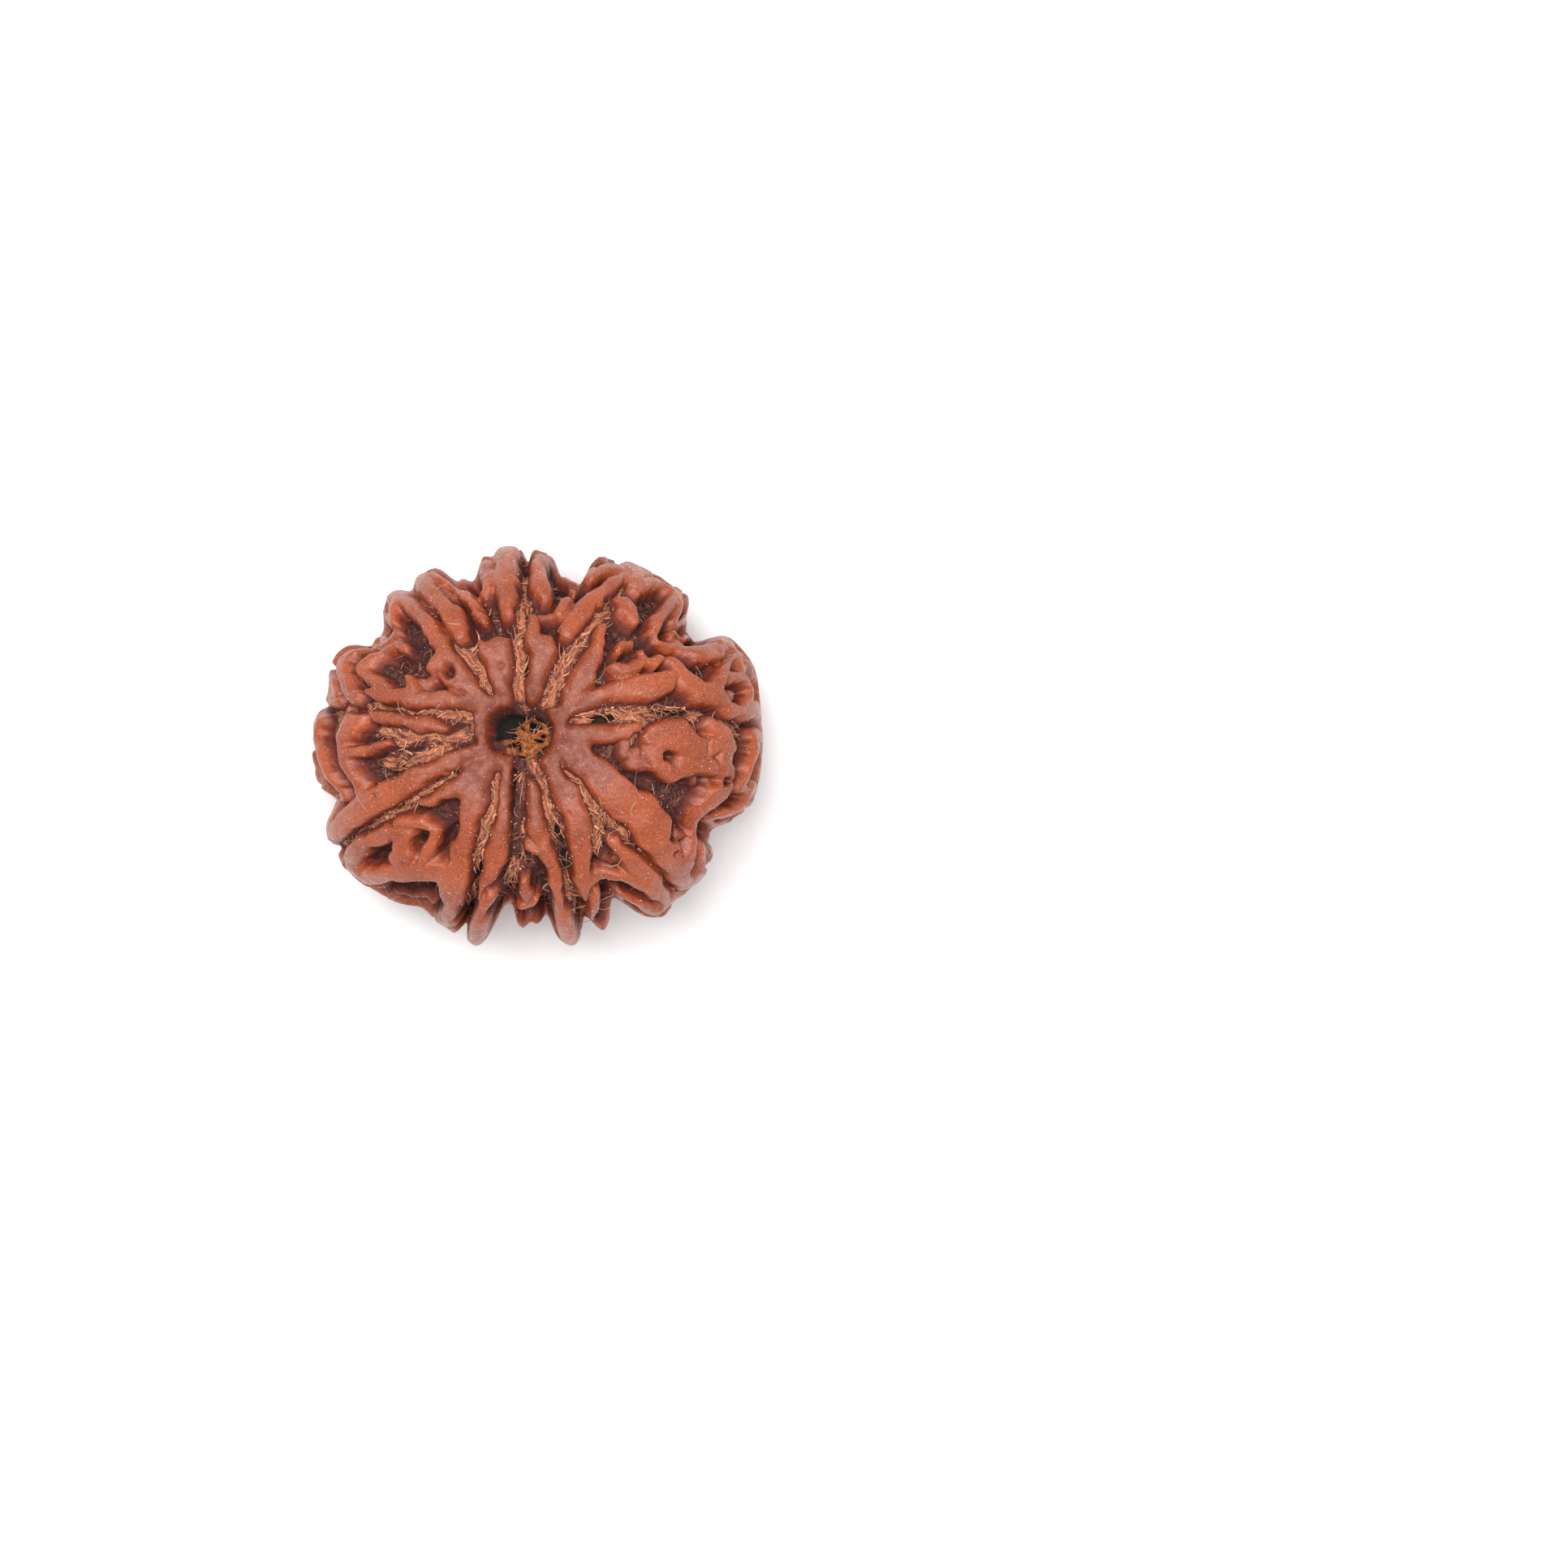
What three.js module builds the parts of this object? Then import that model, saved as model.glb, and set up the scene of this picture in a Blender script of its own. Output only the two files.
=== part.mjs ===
// A rudraksha seed: the hard, deeply sculpted stone of the fruit of Elaeocarpus ganitrus.
// It grew as one piece, so it is one closed solid. It stands on its lower pole, with its axis along Z,
// X along its longest width and its underside at z = 0. All sizes are in millimetres.
//
// Its form is a rounded, slightly flattened ball whose surface is cut away everywhere except where a
// ridge of smooth shell stands. Clefts run from pole to pole like the lines of longitude, each between
// two long rims. Broken ridges and knobs join the rims, with pits between them, and a fibrous pit
// marks each pole.

import * as THREE from "three";
import { mergeVertices } from "three/addons/utils/BufferGeometryUtils.js";

const SEED_LENGTH = 27.0; // along X, over the ridges
const SEED_WIDTH = 23.9; // along Y, over the ridges
const SEED_HEIGHT = 18.4; // along Z, over the ridges
const FLANK_SQUARENESS = 2.35; // 2 is an ellipse in side view, more is squarer
const DIMPLE_DEPTH = 1.3; // each pole lies this much below its shoulders
const DIMPLE_SPREAD = 3.2;
const OUTLINE_POWER = 6; // how soon, inward from the widest line, the bulges of the outline fade
const BASE_CUT = 0.3; // the lowest ridges end in small flats, this much short of their full height
const FLAT_REACH = 0.04; // a corner this close to the flats' plane lies in it

const RELIEF_AT_POLE = 0.9; // from the ridge tops down to the floor of the pits
const RELIEF_AT_EQUATOR = 1.6;
const RELIEF_SPREAD = [0.15, 0.95]; // where it starts and stops to grow, as shares of the way out
const CLEFT_FLOOR = 0.62; // the clefts are filled with fibre, so their floor is a share of that depth
const CLEFT_BANK = [-0.5, 0.05]; // the fill rises from this far outside a cleft's drawn width to this far in
const CLEFT_SLIT = 0.12; // the depth of the slit along a cleft's middle
const SLIT_HALF_WIDTH = 0.14;
const RIDGE_FOOT = 0.16; // the foot of a ridge lies this far outside its drawn width
const RIDGE_ROUNDINGS = [0.34, 0.5]; // across the edge of a narrow ridge, and of a wide one
const CREST_RISE = 0.1; // how much a wide ridge swells from its edge to 1 mm inside it
const CREST_EVEN = 0.5; // this far inside its edge a ridge reaches the ridge tops
const SADDLE_SHARE = 0.72; // of a ridge's height
const PIT_EDGE = [-0.2, 0.16]; // a pit deepens from this far outside its drawn width to this far inside
const BLENDS = [0.1, 0.22]; // how softly ridges that meet flow together, on the upper side and on the flank
const FLANK_LEVELS = [0.45, 0.05]; // the flank's ways start and are full at these shares of the half height
const WAVE_SIZE = 0.26; // the flank's lines waver to and fro by about this much
// Along X, Y and Z by two waves each: [size, turn for each millimetre along X, Y and Z, turn at the middle].
const WAVES = [
  [[1, 0, 1.3, 0.7, 1], [0.6, 0, -1.7, 2.9, 2]],
  [[1, 0.9, 0, 1.2, 2.1], [0.6, 2.6, 0, 1.9, 0.4]],
  [[1, 1.4, -0.8, 0, 0.6], [0.6, 2.1, 3.1, 0, 1.3]],
];
const FAR_OUTSIDE = { depth: -1, halfWidth: 0.5 }; // what a line counts for beyond its reach
const LINE_REACH = 2;
const FINE_STEPS = 76; // along each edge of the icosahedron that the surface is first drawn on
const FACETS = 11400; // of the finished seed
const SAME_CORNER = 1e-5; // corners closer than this are one
const LENGTH_COST = 1e-5; // of joining two points, for each square millimetre between them
const LEAST_CURVE = 1e-4; // below this the planes at an edge don't fix a point
const LEAST_OUTWARD = 0.04; // the cosines of how far a facet may turn from facing outward,
const LEAST_KEPT = 0.2; // and from where it faced before

// The pits at the poles. Their rims are given as [azimuth from the middle in degrees, radius].
const UPPER_PIT = {
  x: -0.85,
  y: 0.6,
  depth: 2.8,
  rim: [[-6, 1.96], [18, 2.04], [44, 1.7], [70, 1.5], [102, 1.6], [129, 1.95], [150, 2.1], [177, 2.0],
    [195, 2.02], [211, 1.92], [249, 1.45], [268, 1.65], [299, 1.85], [316, 1.86]],
};
const LOWER_PIT = { x: -0.4, y: 0.3, depth: 1.9, rim: [[0, 1.15], [90, 0.95], [180, 1.1], [270, 0.95]] };
const PIT_WALL = [0.93, 1.03]; // from its foot to its top, as shares of the radius

// Where the outline of the seed, seen from above, leaves its ellipse: [azimuth, half width, rise].
// The first two are in degrees.
const OUTLINE_BULGES = [
  [20, 8, 0.45],
  [33, 2, -0.8],
  [36.5, 4, -1.7],
  [41, 2, -0.5],
  [75, 1.6, -0.8],
  [78, 4.5, -2.0],
  [82.5, 2, -0.8],
  [87, 5, -0.5],
  [93, 1.4, -0.8],
  [103.5, 2, -0.4],
  [111.5, 4.5, -1.6],
  [116.5, 2, -0.8],
  [129, 2.5, -0.6],
  [145, 6, -1.5],
  [149.5, 1.8, -0.5],
  [167, 6, -0.5],
  [196, 4, -1.0],
  [212, 14, 0.75],
  [235, 4, -0.4],
  [248.6, 1.2, -0.9],
  [250, 5, 0.4],
  [253.5, 2.2, 0.35],
  [258, 1.8, -1.1],
  [261, 3, -2.2],
  [268, 3, -1.2],
  [273, 2.5, -1.6],
  [280, 2.5, 0.3],
  [285.5, 2.5, -1.3],
  [296, 4, -1.9],
  [306, 3.5, 0.4],
  [333, 5.5, -1.5],
];

// The ridges of the upper side, seen from above. A ridge is a line of points [x, y, half width].
const UPPER_RIDGES = [
  // The collar round the upper pit
  [[-2.2, 2.55, 0.4], [-2.9, 2.2, 0.6], [-3.3, 1.5, 0.5], [-3.3, 0.7, 0.48], [-3.1, 0.0, 0.5],
    [-2.7, -0.7, 0.5], [-2.1, -1.0, 0.4]],
  [[1.1, 2.0, 0.2], [1.55, 1.3, 0.45], [1.65, 0.5, 0.55], [1.6, -0.3, 0.5], [1.2, -0.8, 0.35]],
  // From the left cleft round to the upper left one
  [[-3.0, 2.3, 0.5], [-3.75, 3.1, 0.46], [-4.45, 4.1, 0.46], [-5.1, 5.1, 0.52], [-5.85, 6.2, 0.58],
    [-6.5, 7.2, 0.58], [-7.2, 8.1, 0.6], [-7.9, 8.8, 0.6]],
  [[-5.3, 5.3, 0.4], [-5.8, 4.95, 0.55], [-6.2, 4.8, 0.42]],
  [[-4.6, 3.6, 0.3], [-5.2, 3.85, 0.3], [-5.6, 4.25, 0.3]],
  [[-8.9, 7.7, 0.45], [-8.6, 8.5, 0.5], [-8.2, 8.9, 0.5]],
  [[-9.4, 6.4, 0.36], [-8.6, 6.8, 0.3]],
  [[-7.9, 5.9, 0.3], [-8.6, 6.0, 0.4], [-9.4, 5.75, 0.45], [-10.0, 5.2, 0.5], [-10.4, 4.5, 0.5],
    [-9.8, 3.85, 0.42], [-9.0, 3.35, 0.42]],
  [[-10.0, 6.0, 0.25], [-10.8, 5.8, 0.5], [-11.5, 5.2, 0.75], [-11.6, 4.2, 0.6], [-11.3, 3.2, 0.7],
    [-11.0, 2.95, 0.6]],
  [[-12.4, 3.8, 0.35], [-12.2, 3.2, 0.32]],
  [[-12.6, 2.6, 0.28], [-12.0, 2.6, 0.24]],
  [[-3.0, 2.2, 0.5], [-4.2, 2.6, 0.5], [-5.2, 2.7, 0.55], [-6.5, 2.75, 0.55], [-8.0, 2.85, 0.5],
    [-9.2, 2.95, 0.4], [-10.0, 3.0, 0.22]],
  [[-7.4, 3.1, 0.4], [-7.6, 3.9, 0.25]],
  // From the upper left cleft to the top one
  [[-1.85, 2.6, 0.32], [-1.88, 3.3, 0.4], [-2.0, 4.0, 0.5], [-2.2, 4.9, 0.72], [-2.45, 5.7, 0.9]],
  [[-2.9, 5.8, 0.5], [-3.3, 6.15, 0.2]],
  [[-2.0, 5.6, 0.45], [-1.75, 6.1, 0.22]],
  [[-4.35, 6.6, 0.36], [-4.65, 7.1, 0.58], [-5.0, 7.7, 0.72], [-5.5, 8.4, 0.52], [-6.1, 9.1, 0.56],
    [-6.9, 9.7, 0.62]],
  [[-7.1, 9.8, 0.42], [-6.3, 10.1, 0.45], [-5.5, 10.0, 0.4], [-5.0, 9.7, 0.36], [-4.2, 9.2, 0.42],
    [-3.75, 8.7, 0.35], [-3.5, 8.1, 0.28], [-3.1, 7.55, 0.2]],
  [[-4.2, 9.2, 0.3], [-3.3, 9.45, 0.18]],
  [[-1.7, 8.0, 0.52], [-1.75, 8.8, 0.58], [-1.85, 9.6, 0.75], [-2.0, 10.4, 0.92], [-1.85, 11.2, 0.7]],
  [[-3.0, 9.7, 0.35], [-2.9, 10.4, 0.5]],
  // From the top cleft to the upper right one
  [[-0.08, 2.9, 0.32], [0.18, 3.9, 0.58], [0.4, 4.8, 0.8], [0.5, 5.6, 0.86], [0.6, 6.0, 0.6]],
  [[0.0, 6.0, 0.42], [-0.08, 6.8, 0.36], [-0.05, 7.6, 0.3]],
  [[1.5, 8.0, 0.32], [1.8, 8.5, 0.46], [1.95, 9.0, 0.46]],
  [[0.6, 8.95, 0.45], [0.5, 9.4, 0.72], [0.25, 10.2, 0.6], [0.15, 11.1, 0.45]],
  [[2.5, 9.6, 0.16], [2.4, 9.9, 0.14]],
  [[1.95, 6.8, 0.6], [2.45, 7.6, 0.72], [3.1, 8.4, 0.7], [3.9, 9.1, 0.55], [4.6, 9.6, 0.42],
    [5.2, 10.0, 0.3]],
  [[3.2, 10.2, 0.35], [3.9, 10.5, 0.55], [4.7, 10.6, 0.66], [5.5, 10.5, 0.48]],
  [[6.1, 10.2, 0.35], [5.9, 9.9, 0.3]],
  // From the upper right cleft to the right one
  [[2.1, 2.6, 0.4], [2.55, 3.4, 0.52], [3.15, 4.3, 0.64], [3.5, 5.1, 0.6], [3.8, 5.9, 0.4],
    [4.1, 6.8, 0.25]],
  [[1.7, 1.9, 0.35], [2.5, 2.35, 0.42], [4.0, 2.95, 0.6], [5.4, 3.25, 0.8], [6.8, 3.4, 0.9],
    [7.8, 3.65, 0.7], [8.2, 3.9, 0.5]],
  [[4.9, 4.5, 0.4], [5.6, 4.5, 0.4], [6.2, 4.75, 0.25], [6.6, 4.95, 0.14]],
  [[8.3, 5.1, 0.3], [8.7, 4.5, 0.6], [9.2, 3.7, 0.72], [9.8, 3.2, 0.78], [10.6, 3.0, 0.7], [11.4, 2.4, 0.5],
    [12.0, 1.95, 0.35]],
  [[10.9, 3.5, 0.4], [11.1, 4.2, 0.36], [11.35, 4.9, 0.22]],
  [[5.05, 5.5, 0.28], [5.4, 5.8, 0.4], [5.75, 5.95, 0.28]],
  [[6.6, 5.45, 0.2], [6.75, 5.0, 0.26], [7.3, 4.9, 0.26], [7.75, 5.1, 0.2]],
  [[5.45, 8.6, 0.55], [5.6, 8.15, 0.74], [5.8, 7.7, 0.56], [6.0, 7.35, 0.28]],
  [[6.1, 9.4, 0.35], [6.8, 9.7, 0.42], [7.6, 9.65, 0.52], [8.35, 9.1, 0.52], [8.75, 8.3, 0.42],
    [8.7, 7.5, 0.32]],
  [[8.15, 8.5, 0.3], [7.8, 8.0, 0.45], [7.4, 7.4, 0.45], [7.15, 6.8, 0.36], [7.3, 6.4, 0.22]],
  [[7.5, 6.2, 0.2], [8.3, 6.15, 0.35], [9.1, 6.05, 0.58], [9.8, 5.7, 0.8], [10.3, 5.4, 0.68]],
  [[10.9, 6.2, 0.4], [11.5, 5.7, 0.48], [11.9, 5.0, 0.4], [12.0, 4.4, 0.34]],
  [[12.45, 5.4, 0.4], [12.7, 4.6, 0.42]],
  [[11.5, 3.8, 0.3], [12.1, 3.9, 0.4], [12.6, 3.4, 0.4], [12.75, 2.6, 0.45], [12.5, 1.8, 0.48]],
  [[8.7, 6.8, 0.22], [9.5, 6.8, 0.18]],
  // From the right cleft to the lower right one
  [[1.7, 0.5, 0.6], [2.8, 0.55, 0.6], [4.0, 0.6, 0.6], [5.2, 0.75, 0.45], [6.0, 1.0, 0.25]],
  [[1.5, -0.4, 0.55], [2.5, -0.9, 0.7], [3.5, -1.6, 0.85], [4.6, -2.6, 1.05], [5.7, -3.6, 1.2],
    [6.8, -4.7, 1.2], [7.7, -6.0, 1.05], [8.3, -7.2, 0.8], [8.8, -8.2, 0.55]],
  [[2.2, 0.1, 0.6], [3.1, -0.5, 0.5]],
  [[6.9, 0.3, 0.5], [8.1, 0.7, 0.75], [9.0, 0.7, 0.7], [9.5, 0.2, 0.5]],
  [[7.1, -0.7, 0.6], [8.3, -0.3, 0.85], [9.4, -0.4, 0.75], [10.6, -0.2, 0.7]],
  [[7.5, -1.4, 0.65], [8.4, -1.7, 0.78], [9.3, -1.5, 0.75], [10.6, -1.4, 0.6]],
  [[10.6, 1.2, 0.45], [11.3, 0.7, 0.7], [11.5, -0.2, 0.8], [11.4, -1.1, 0.72], [11.3, -1.7, 0.6]],
  [[11.6, -1.8, 0.5], [11.4, -2.7, 0.72], [10.9, -3.3, 0.85], [10.3, -3.8, 0.8], [10.0, -4.5, 0.55],
    [9.9, -5.2, 0.4], [9.8, -6.0, 0.45], [9.3, -6.9, 0.6], [8.9, -7.7, 0.65], [8.8, -8.3, 0.55]],
  [[13.1, 0.4, 0.45], [13.2, -0.4, 0.45], [12.9, -1.2, 0.42], [12.6, -2.0, 0.38], [12.3, -2.8, 0.32]],
  [[12.8, -2.9, 0.35], [12.5, -3.7, 0.4], [11.6, -4.4, 0.4], [10.8, -4.8, 0.35]],
  [[10.2, -6.4, 0.35], [10.1, -7.2, 0.42], [9.7, -8.0, 0.4]],
  // From the lower right cleft to the lower one
  [[0.95, -1.1, 0.35], [1.3, -1.9, 0.45], [1.8, -2.9, 0.6], [2.3, -3.9, 0.78], [2.65, -4.6, 0.82],
    [2.6, -5.5, 0.7], [2.75, -6.5, 0.62], [2.85, -7.6, 0.58], [2.95, -8.7, 0.5], [3.05, -9.6, 0.25]],
  [[3.2, -8.4, 0.42], [4.3, -8.2, 0.5], [5.3, -8.1, 0.42], [6.4, -8.5, 0.6], [7.0, -8.9, 0.5]],
  [[4.8, -6.1, 0.38], [5.6, -6.8, 0.55], [6.4, -7.6, 0.66], [7.1, -8.4, 0.6], [7.5, -9.0, 0.45]],
  [[5.2, -9.5, 0.3], [6.2, -9.8, 0.45], [7.1, -9.9, 0.5], [7.8, -9.4, 0.4]],
  [[3.9, -9.3, 0.4], [3.7, -10.1, 0.45], [3.4, -10.8, 0.35]],
  // From the lower cleft to the bottom one
  [[-0.15, -2.3, 0.2], [-0.05, -3.1, 0.34], [0.0, -3.9, 0.42], [0.15, -4.8, 0.52], [0.4, -5.7, 0.58],
    [0.65, -6.6, 0.56], [0.95, -7.5, 0.48], [1.2, -8.4, 0.4], [1.4, -9.2, 0.3]],
  [[-0.3, -6.2, 0.32], [0.3, -6.5, 0.4]],
  [[1.4, -9.6, 0.42], [1.65, -10.4, 0.58], [1.9, -11.3, 0.68]],
  [[-0.6, -8.5, 0.22], [-0.5, -9.1, 0.35], [-0.6, -9.7, 0.22]],
  [[-0.7, -10.2, 0.35], [-0.2, -10.0, 0.3], [0.1, -9.7, 0.2]],
  // From the bottom cleft to the lower left one
  [[-1.75, -1.2, 0.35], [-1.72, -2.3, 0.32], [-1.68, -3.5, 0.35], [-1.75, -4.6, 0.42], [-1.95, -5.7, 0.56],
    [-2.25, -6.8, 0.65], [-2.6, -7.8, 0.52], [-3.0, -8.5, 0.38], [-3.4, -9.2, 0.2]],
  [[-2.5, -9.2, 0.3], [-3.0, -9.6, 0.4], [-3.4, -10.3, 0.42], [-3.6, -11.3, 0.5]],
  [[-2.9, -10.6, 0.36], [-3.3, -11.4, 0.36]],
  // From the lower left cleft to the left one
  [[-2.5, -1.1, 0.4], [-3.3, -1.8, 0.68], [-3.8, -2.5, 0.85], [-3.75, -3.5, 0.82], [-3.95, -4.6, 0.6],
    [-4.1, -5.6, 0.58], [-4.35, -6.4, 0.68], [-4.9, -7.0, 0.58]],
  [[-4.3, -2.6, 0.6], [-5.2, -3.1, 0.48], [-6.0, -3.45, 0.34], [-6.6, -3.6, 0.16]],
  [[-4.6, -7.3, 0.8], [-5.0, -8.2, 1.05], [-5.0, -9.0, 0.9], [-5.0, -9.9, 0.55]],
  [[-5.3, -7.8, 0.9], [-6.4, -7.8, 0.8], [-7.6, -7.75, 0.65], [-8.8, -7.75, 0.68], [-9.8, -7.8, 0.78],
    [-10.4, -7.4, 0.74], [-10.6, -6.8, 0.7], [-10.2, -6.15, 0.56], [-9.5, -5.75, 0.48], [-8.7, -5.4, 0.42],
    [-8.0, -5.2, 0.34]],
  [[-7.9, -5.5, 0.4], [-8.1, -6.3, 0.55], [-8.3, -7.0, 0.6]],
  [[-8.1, -4.75, 0.28], [-7.4, -4.7, 0.38], [-6.7, -4.7, 0.4], [-6.1, -5.2, 0.42], [-6.1, -6.0, 0.42],
    [-6.5, -6.7, 0.4], [-6.75, -7.3, 0.32]],
  [[-7.45, -5.3, 0.26], [-7.55, -6.2, 0.28], [-7.5, -7.0, 0.34]],
  [[-11.5, -7.4, 0.35], [-11.2, -8.2, 0.38], [-10.3, -8.6, 0.34], [-9.3, -9.0, 0.3], [-8.7, -9.3, 0.2]],
  [[-5.1, -10.2, 0.36], [-5.2, -11.0, 0.52]],
  // From the lower left cleft round to the left one
  [[-2.9, -0.4, 0.5], [-4.2, -0.8, 0.48], [-5.4, -1.35, 0.5], [-6.8, -2.0, 0.56], [-8.2, -2.75, 0.75],
    [-9.6, -3.4, 0.92], [-10.8, -4.2, 0.95], [-11.7, -5.1, 0.72]],
  [[-12.2, -4.2, 0.4], [-12.5, -5.2, 0.4], [-12.3, -5.8, 0.35]],
  [[-10.6, 1.3, 0.55], [-11.2, 1.1, 0.88], [-11.6, 0.3, 0.7], [-11.5, -0.5, 0.56], [-11.3, -1.3, 0.45],
    [-10.8, -2.2, 0.46], [-10.7, -3.0, 0.6]],
  [[-11.0, -0.5, 0.45], [-10.2, -0.4, 0.34], [-9.4, -0.1, 0.26], [-8.8, 0.05, 0.14]],
  [[-13.1, 1.2, 0.5], [-13.2, 0.4, 0.45], [-13.0, -0.4, 0.45], [-12.7, -1.3, 0.42], [-12.3, -2.1, 0.45],
    [-12.0, -2.9, 0.42], [-11.9, -3.3, 0.34]],
  [[-9.8, 1.65, 0.25], [-8.9, 1.55, 0.42], [-7.9, 1.4, 0.48], [-6.8, 1.2, 0.45], [-5.9, 1.0, 0.32],
    [-5.5, 0.9, 0.2]],
];

// Lower, smooth saddles between ridges of the upper side: lines of points [x, y, half width].
const UPPER_SADDLES = [
  [[-0.05, 7.6, 0.3], [0.4, 7.95, 0.28], [1.0, 7.95, 0.28], [1.6, 8.0, 0.3]],
  [[6.2, -0.6, 0.4], [6.7, -0.9, 0.5]],
  [[5.4, 0.2, 0.4], [5.4, -0.5, 0.4], [6.1, -1.2, 0.5], [7.0, -1.2, 0.5]],
  [[-6.0, 9.7, 0.4], [-5.3, 9.3, 0.4]],
  [[10.0, -2.4, 0.4], [10.6, -2.5, 0.5]],
  [[4.4, -7.2, 0.4], [5.2, -7.4, 0.4]],
  [[7.9, -5.3, 0.4], [9.2, -5.9, 0.4]],
  [[-6.9, 3.7, 0.4], [-6.2, 4.2, 0.4]],
  [[-8.7, -9.3, 0.3], [-7.6, -9.7, 0.3], [-6.5, -10.0, 0.3]],
  [[11.2, 3.2, 0.4], [11.8, 2.8, 0.4]],
];

// Small pits in the ridges of the upper side: a depth, and a line of points [x, y, half width].
const UPPER_PITS = [
  { depth: 0.8, line: [[8.1, -0.85, 0.32], [8.5, -1.0, 0.28]] },
  { depth: 0.4, line: [[10.35, 0.9, 0.12], [10.3, 0.0, 0.1], [10.2, -0.8, 0.06]] },
  { depth: 0.9, line: [[10.2, -2.4, 0.3], [10.5, -2.3, 0.24]] },
  { depth: 0.8, line: [[11.4, -2.4, 0.22], [11.6, -2.5, 0.16]] },
  { depth: 0.5, line: [[-9.6, -2.75, 0.06], [-9.7, -3.1, 0.06]] },
  { depth: 0.8, line: [[8.3, -6.55, 0.14], [8.35, -6.75, 0.08]] },
  { depth: 0.25, line: [[-2.1, 4.75, 0.14], [-2.15, 4.6, 0.1]] },
  { depth: 0.7, line: [[-5.2, 4.5, 0.26], [-5.0, 4.25, 0.22]] },
  { depth: 1.5, line: [[8.9, -4.6, 0.3], [8.75, -5.2, 0.42], [8.5, -5.7, 0.3]] },
  { depth: 0.5, line: [[4.2, -0.55, 0.3], [4.6, -0.75, 0.3]] },
  { depth: 0.15, line: [[2.75, -0.12, 0.1], [2.85, -0.18, 0.08]] },
  { depth: 0.2, line: [[2.15, -4.2, 0.08], [2.15, -4.5, 0.08]] },
  { depth: 1.0, line: [[-12.1, -0.7, 0.06], [-11.75, -1.5, 0.1], [-11.4, -2.1, 0.06]] },
  { depth: 1.0, line: [[12.35, -0.6, 0.06], [12.15, -1.6, 0.12], [12.05, -2.3, 0.06]] },
  { depth: 1.5, line: [[-5.25, -5.7, 0.24], [-5.45, -6.7, 0.28]] },
  { depth: 1.2, line: [[-7.05, -5.3, 0.14], [-6.95, -6.3, 0.18]] },
  { depth: 0.3, line: [[5.0, -7.2, 0.3], [5.3, -7.6, 0.24]] },
];

// The clefts of the upper side, from its pit outward: lines of points [x, y, half width].
const UPPER_CLEFTS = [
  [[-2.45, 3.1, 0.45], [-3.0, 3.8, 0.55], [-3.8, 4.9, 0.55], [-4.5, 5.9, 0.5], [-5.2, 6.9, 0.36],
    [-5.9, 7.8, 0.38], [-6.6, 8.6, 0.38], [-7.2, 9.4, 0.34]],
  [[-0.85, 2.1, 0.45], [-0.95, 4.0, 0.42], [-0.95, 6.4, 0.42], [-0.75, 8.0, 0.36], [-0.75, 10.0, 0.36],
    [-0.7, 11.2, 0.3]],
  [[0.8, 2.6, 0.36], [1.5, 3.7, 0.4], [2.1, 5.2, 0.4], [2.9, 6.6, 0.36], [3.8, 7.7, 0.34], [4.8, 8.9, 0.36],
    [5.7, 10.0, 0.36]],
  [[1.15, 1.6, 0.12], [1.95, 2.7, 0.14]],
  [[2.4, 1.4, 0.3], [3.2, 1.5, 0.4], [4.2, 1.6, 0.45], [5.6, 1.75, 0.42], [7.0, 1.9, 0.4], [8.6, 1.95, 0.3],
    [10.0, 1.8, 0.3], [11.4, 1.3, 0.3], [12.6, 0.9, 0.3]],
  [[6.7, 1.3, 0.36], [6.4, 0.6, 0.36], [6.2, 0.0, 0.3]],
  [[1.45, -0.95, 0.25], [2.0, -1.6, 0.36], [2.8, -2.7, 0.4], [3.9, -4.0, 0.4], [5.3, -5.3, 0.4],
    [6.6, -6.9, 0.4], [8.1, -8.7, 0.36]],
  [[3.9, -4.9, 0.45], [3.8, -6.0, 0.45], [3.9, -6.9, 0.34]],
  [[-0.1, -1.3, 0.36], [0.3, -2.4, 0.34], [0.7, -3.5, 0.34], [1.05, -4.6, 0.34], [1.4, -5.7, 0.3],
    [1.7, -6.8, 0.28], [2.0, -8.1, 0.3], [2.3, -9.6, 0.3], [2.6, -10.9, 0.26]],
  [[-1.0, -1.1, 0.4], [-1.0, -3.0, 0.4], [-1.0, -5.0, 0.42], [-1.1, -7.0, 0.38], [-1.4, -8.9, 0.36]],
  [[-2.3, -2.3, 0.34], [-2.35, -3.5, 0.4], [-2.7, -4.7, 0.4], [-3.1, -5.8, 0.36], [-3.5, -7.2, 0.34],
    [-3.95, -8.8, 0.32], [-4.2, -9.9, 0.3]],
  [[-3.4, -1.0, 0.3], [-5.0, -1.85, 0.42], [-7.0, -3.0, 0.42], [-9.0, -4.35, 0.42], [-10.8, -5.5, 0.42],
    [-11.7, -6.1, 0.34]],
  [[-4.1, 0.6, 0.3], [-5.6, 0.35, 0.4], [-7.0, 0.3, 0.4], [-8.4, 0.35, 0.4], [-9.6, 0.8, 0.32]],
  [[-5.4, -0.3, 0.3], [-6.8, -0.9, 0.4], [-8.2, -1.2, 0.42], [-9.2, -1.2, 0.36]],
  [[-3.8, 1.6, 0.35], [-4.6, 1.75, 0.42], [-5.6, 1.85, 0.36], [-7.0, 2.05, 0.24], [-9.4, 2.2, 0.28],
    [-11.4, 2.1, 0.26], [-12.8, 2.0, 0.26]],
];

// Below its widest line the seed is grown by rule: its clefts run on to the lower pole at these azimuths.
const CLEFT_AZIMUTHS = [5, 61, 93.5, 128, 171, 207, 247, 262, 284, 313];
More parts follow.
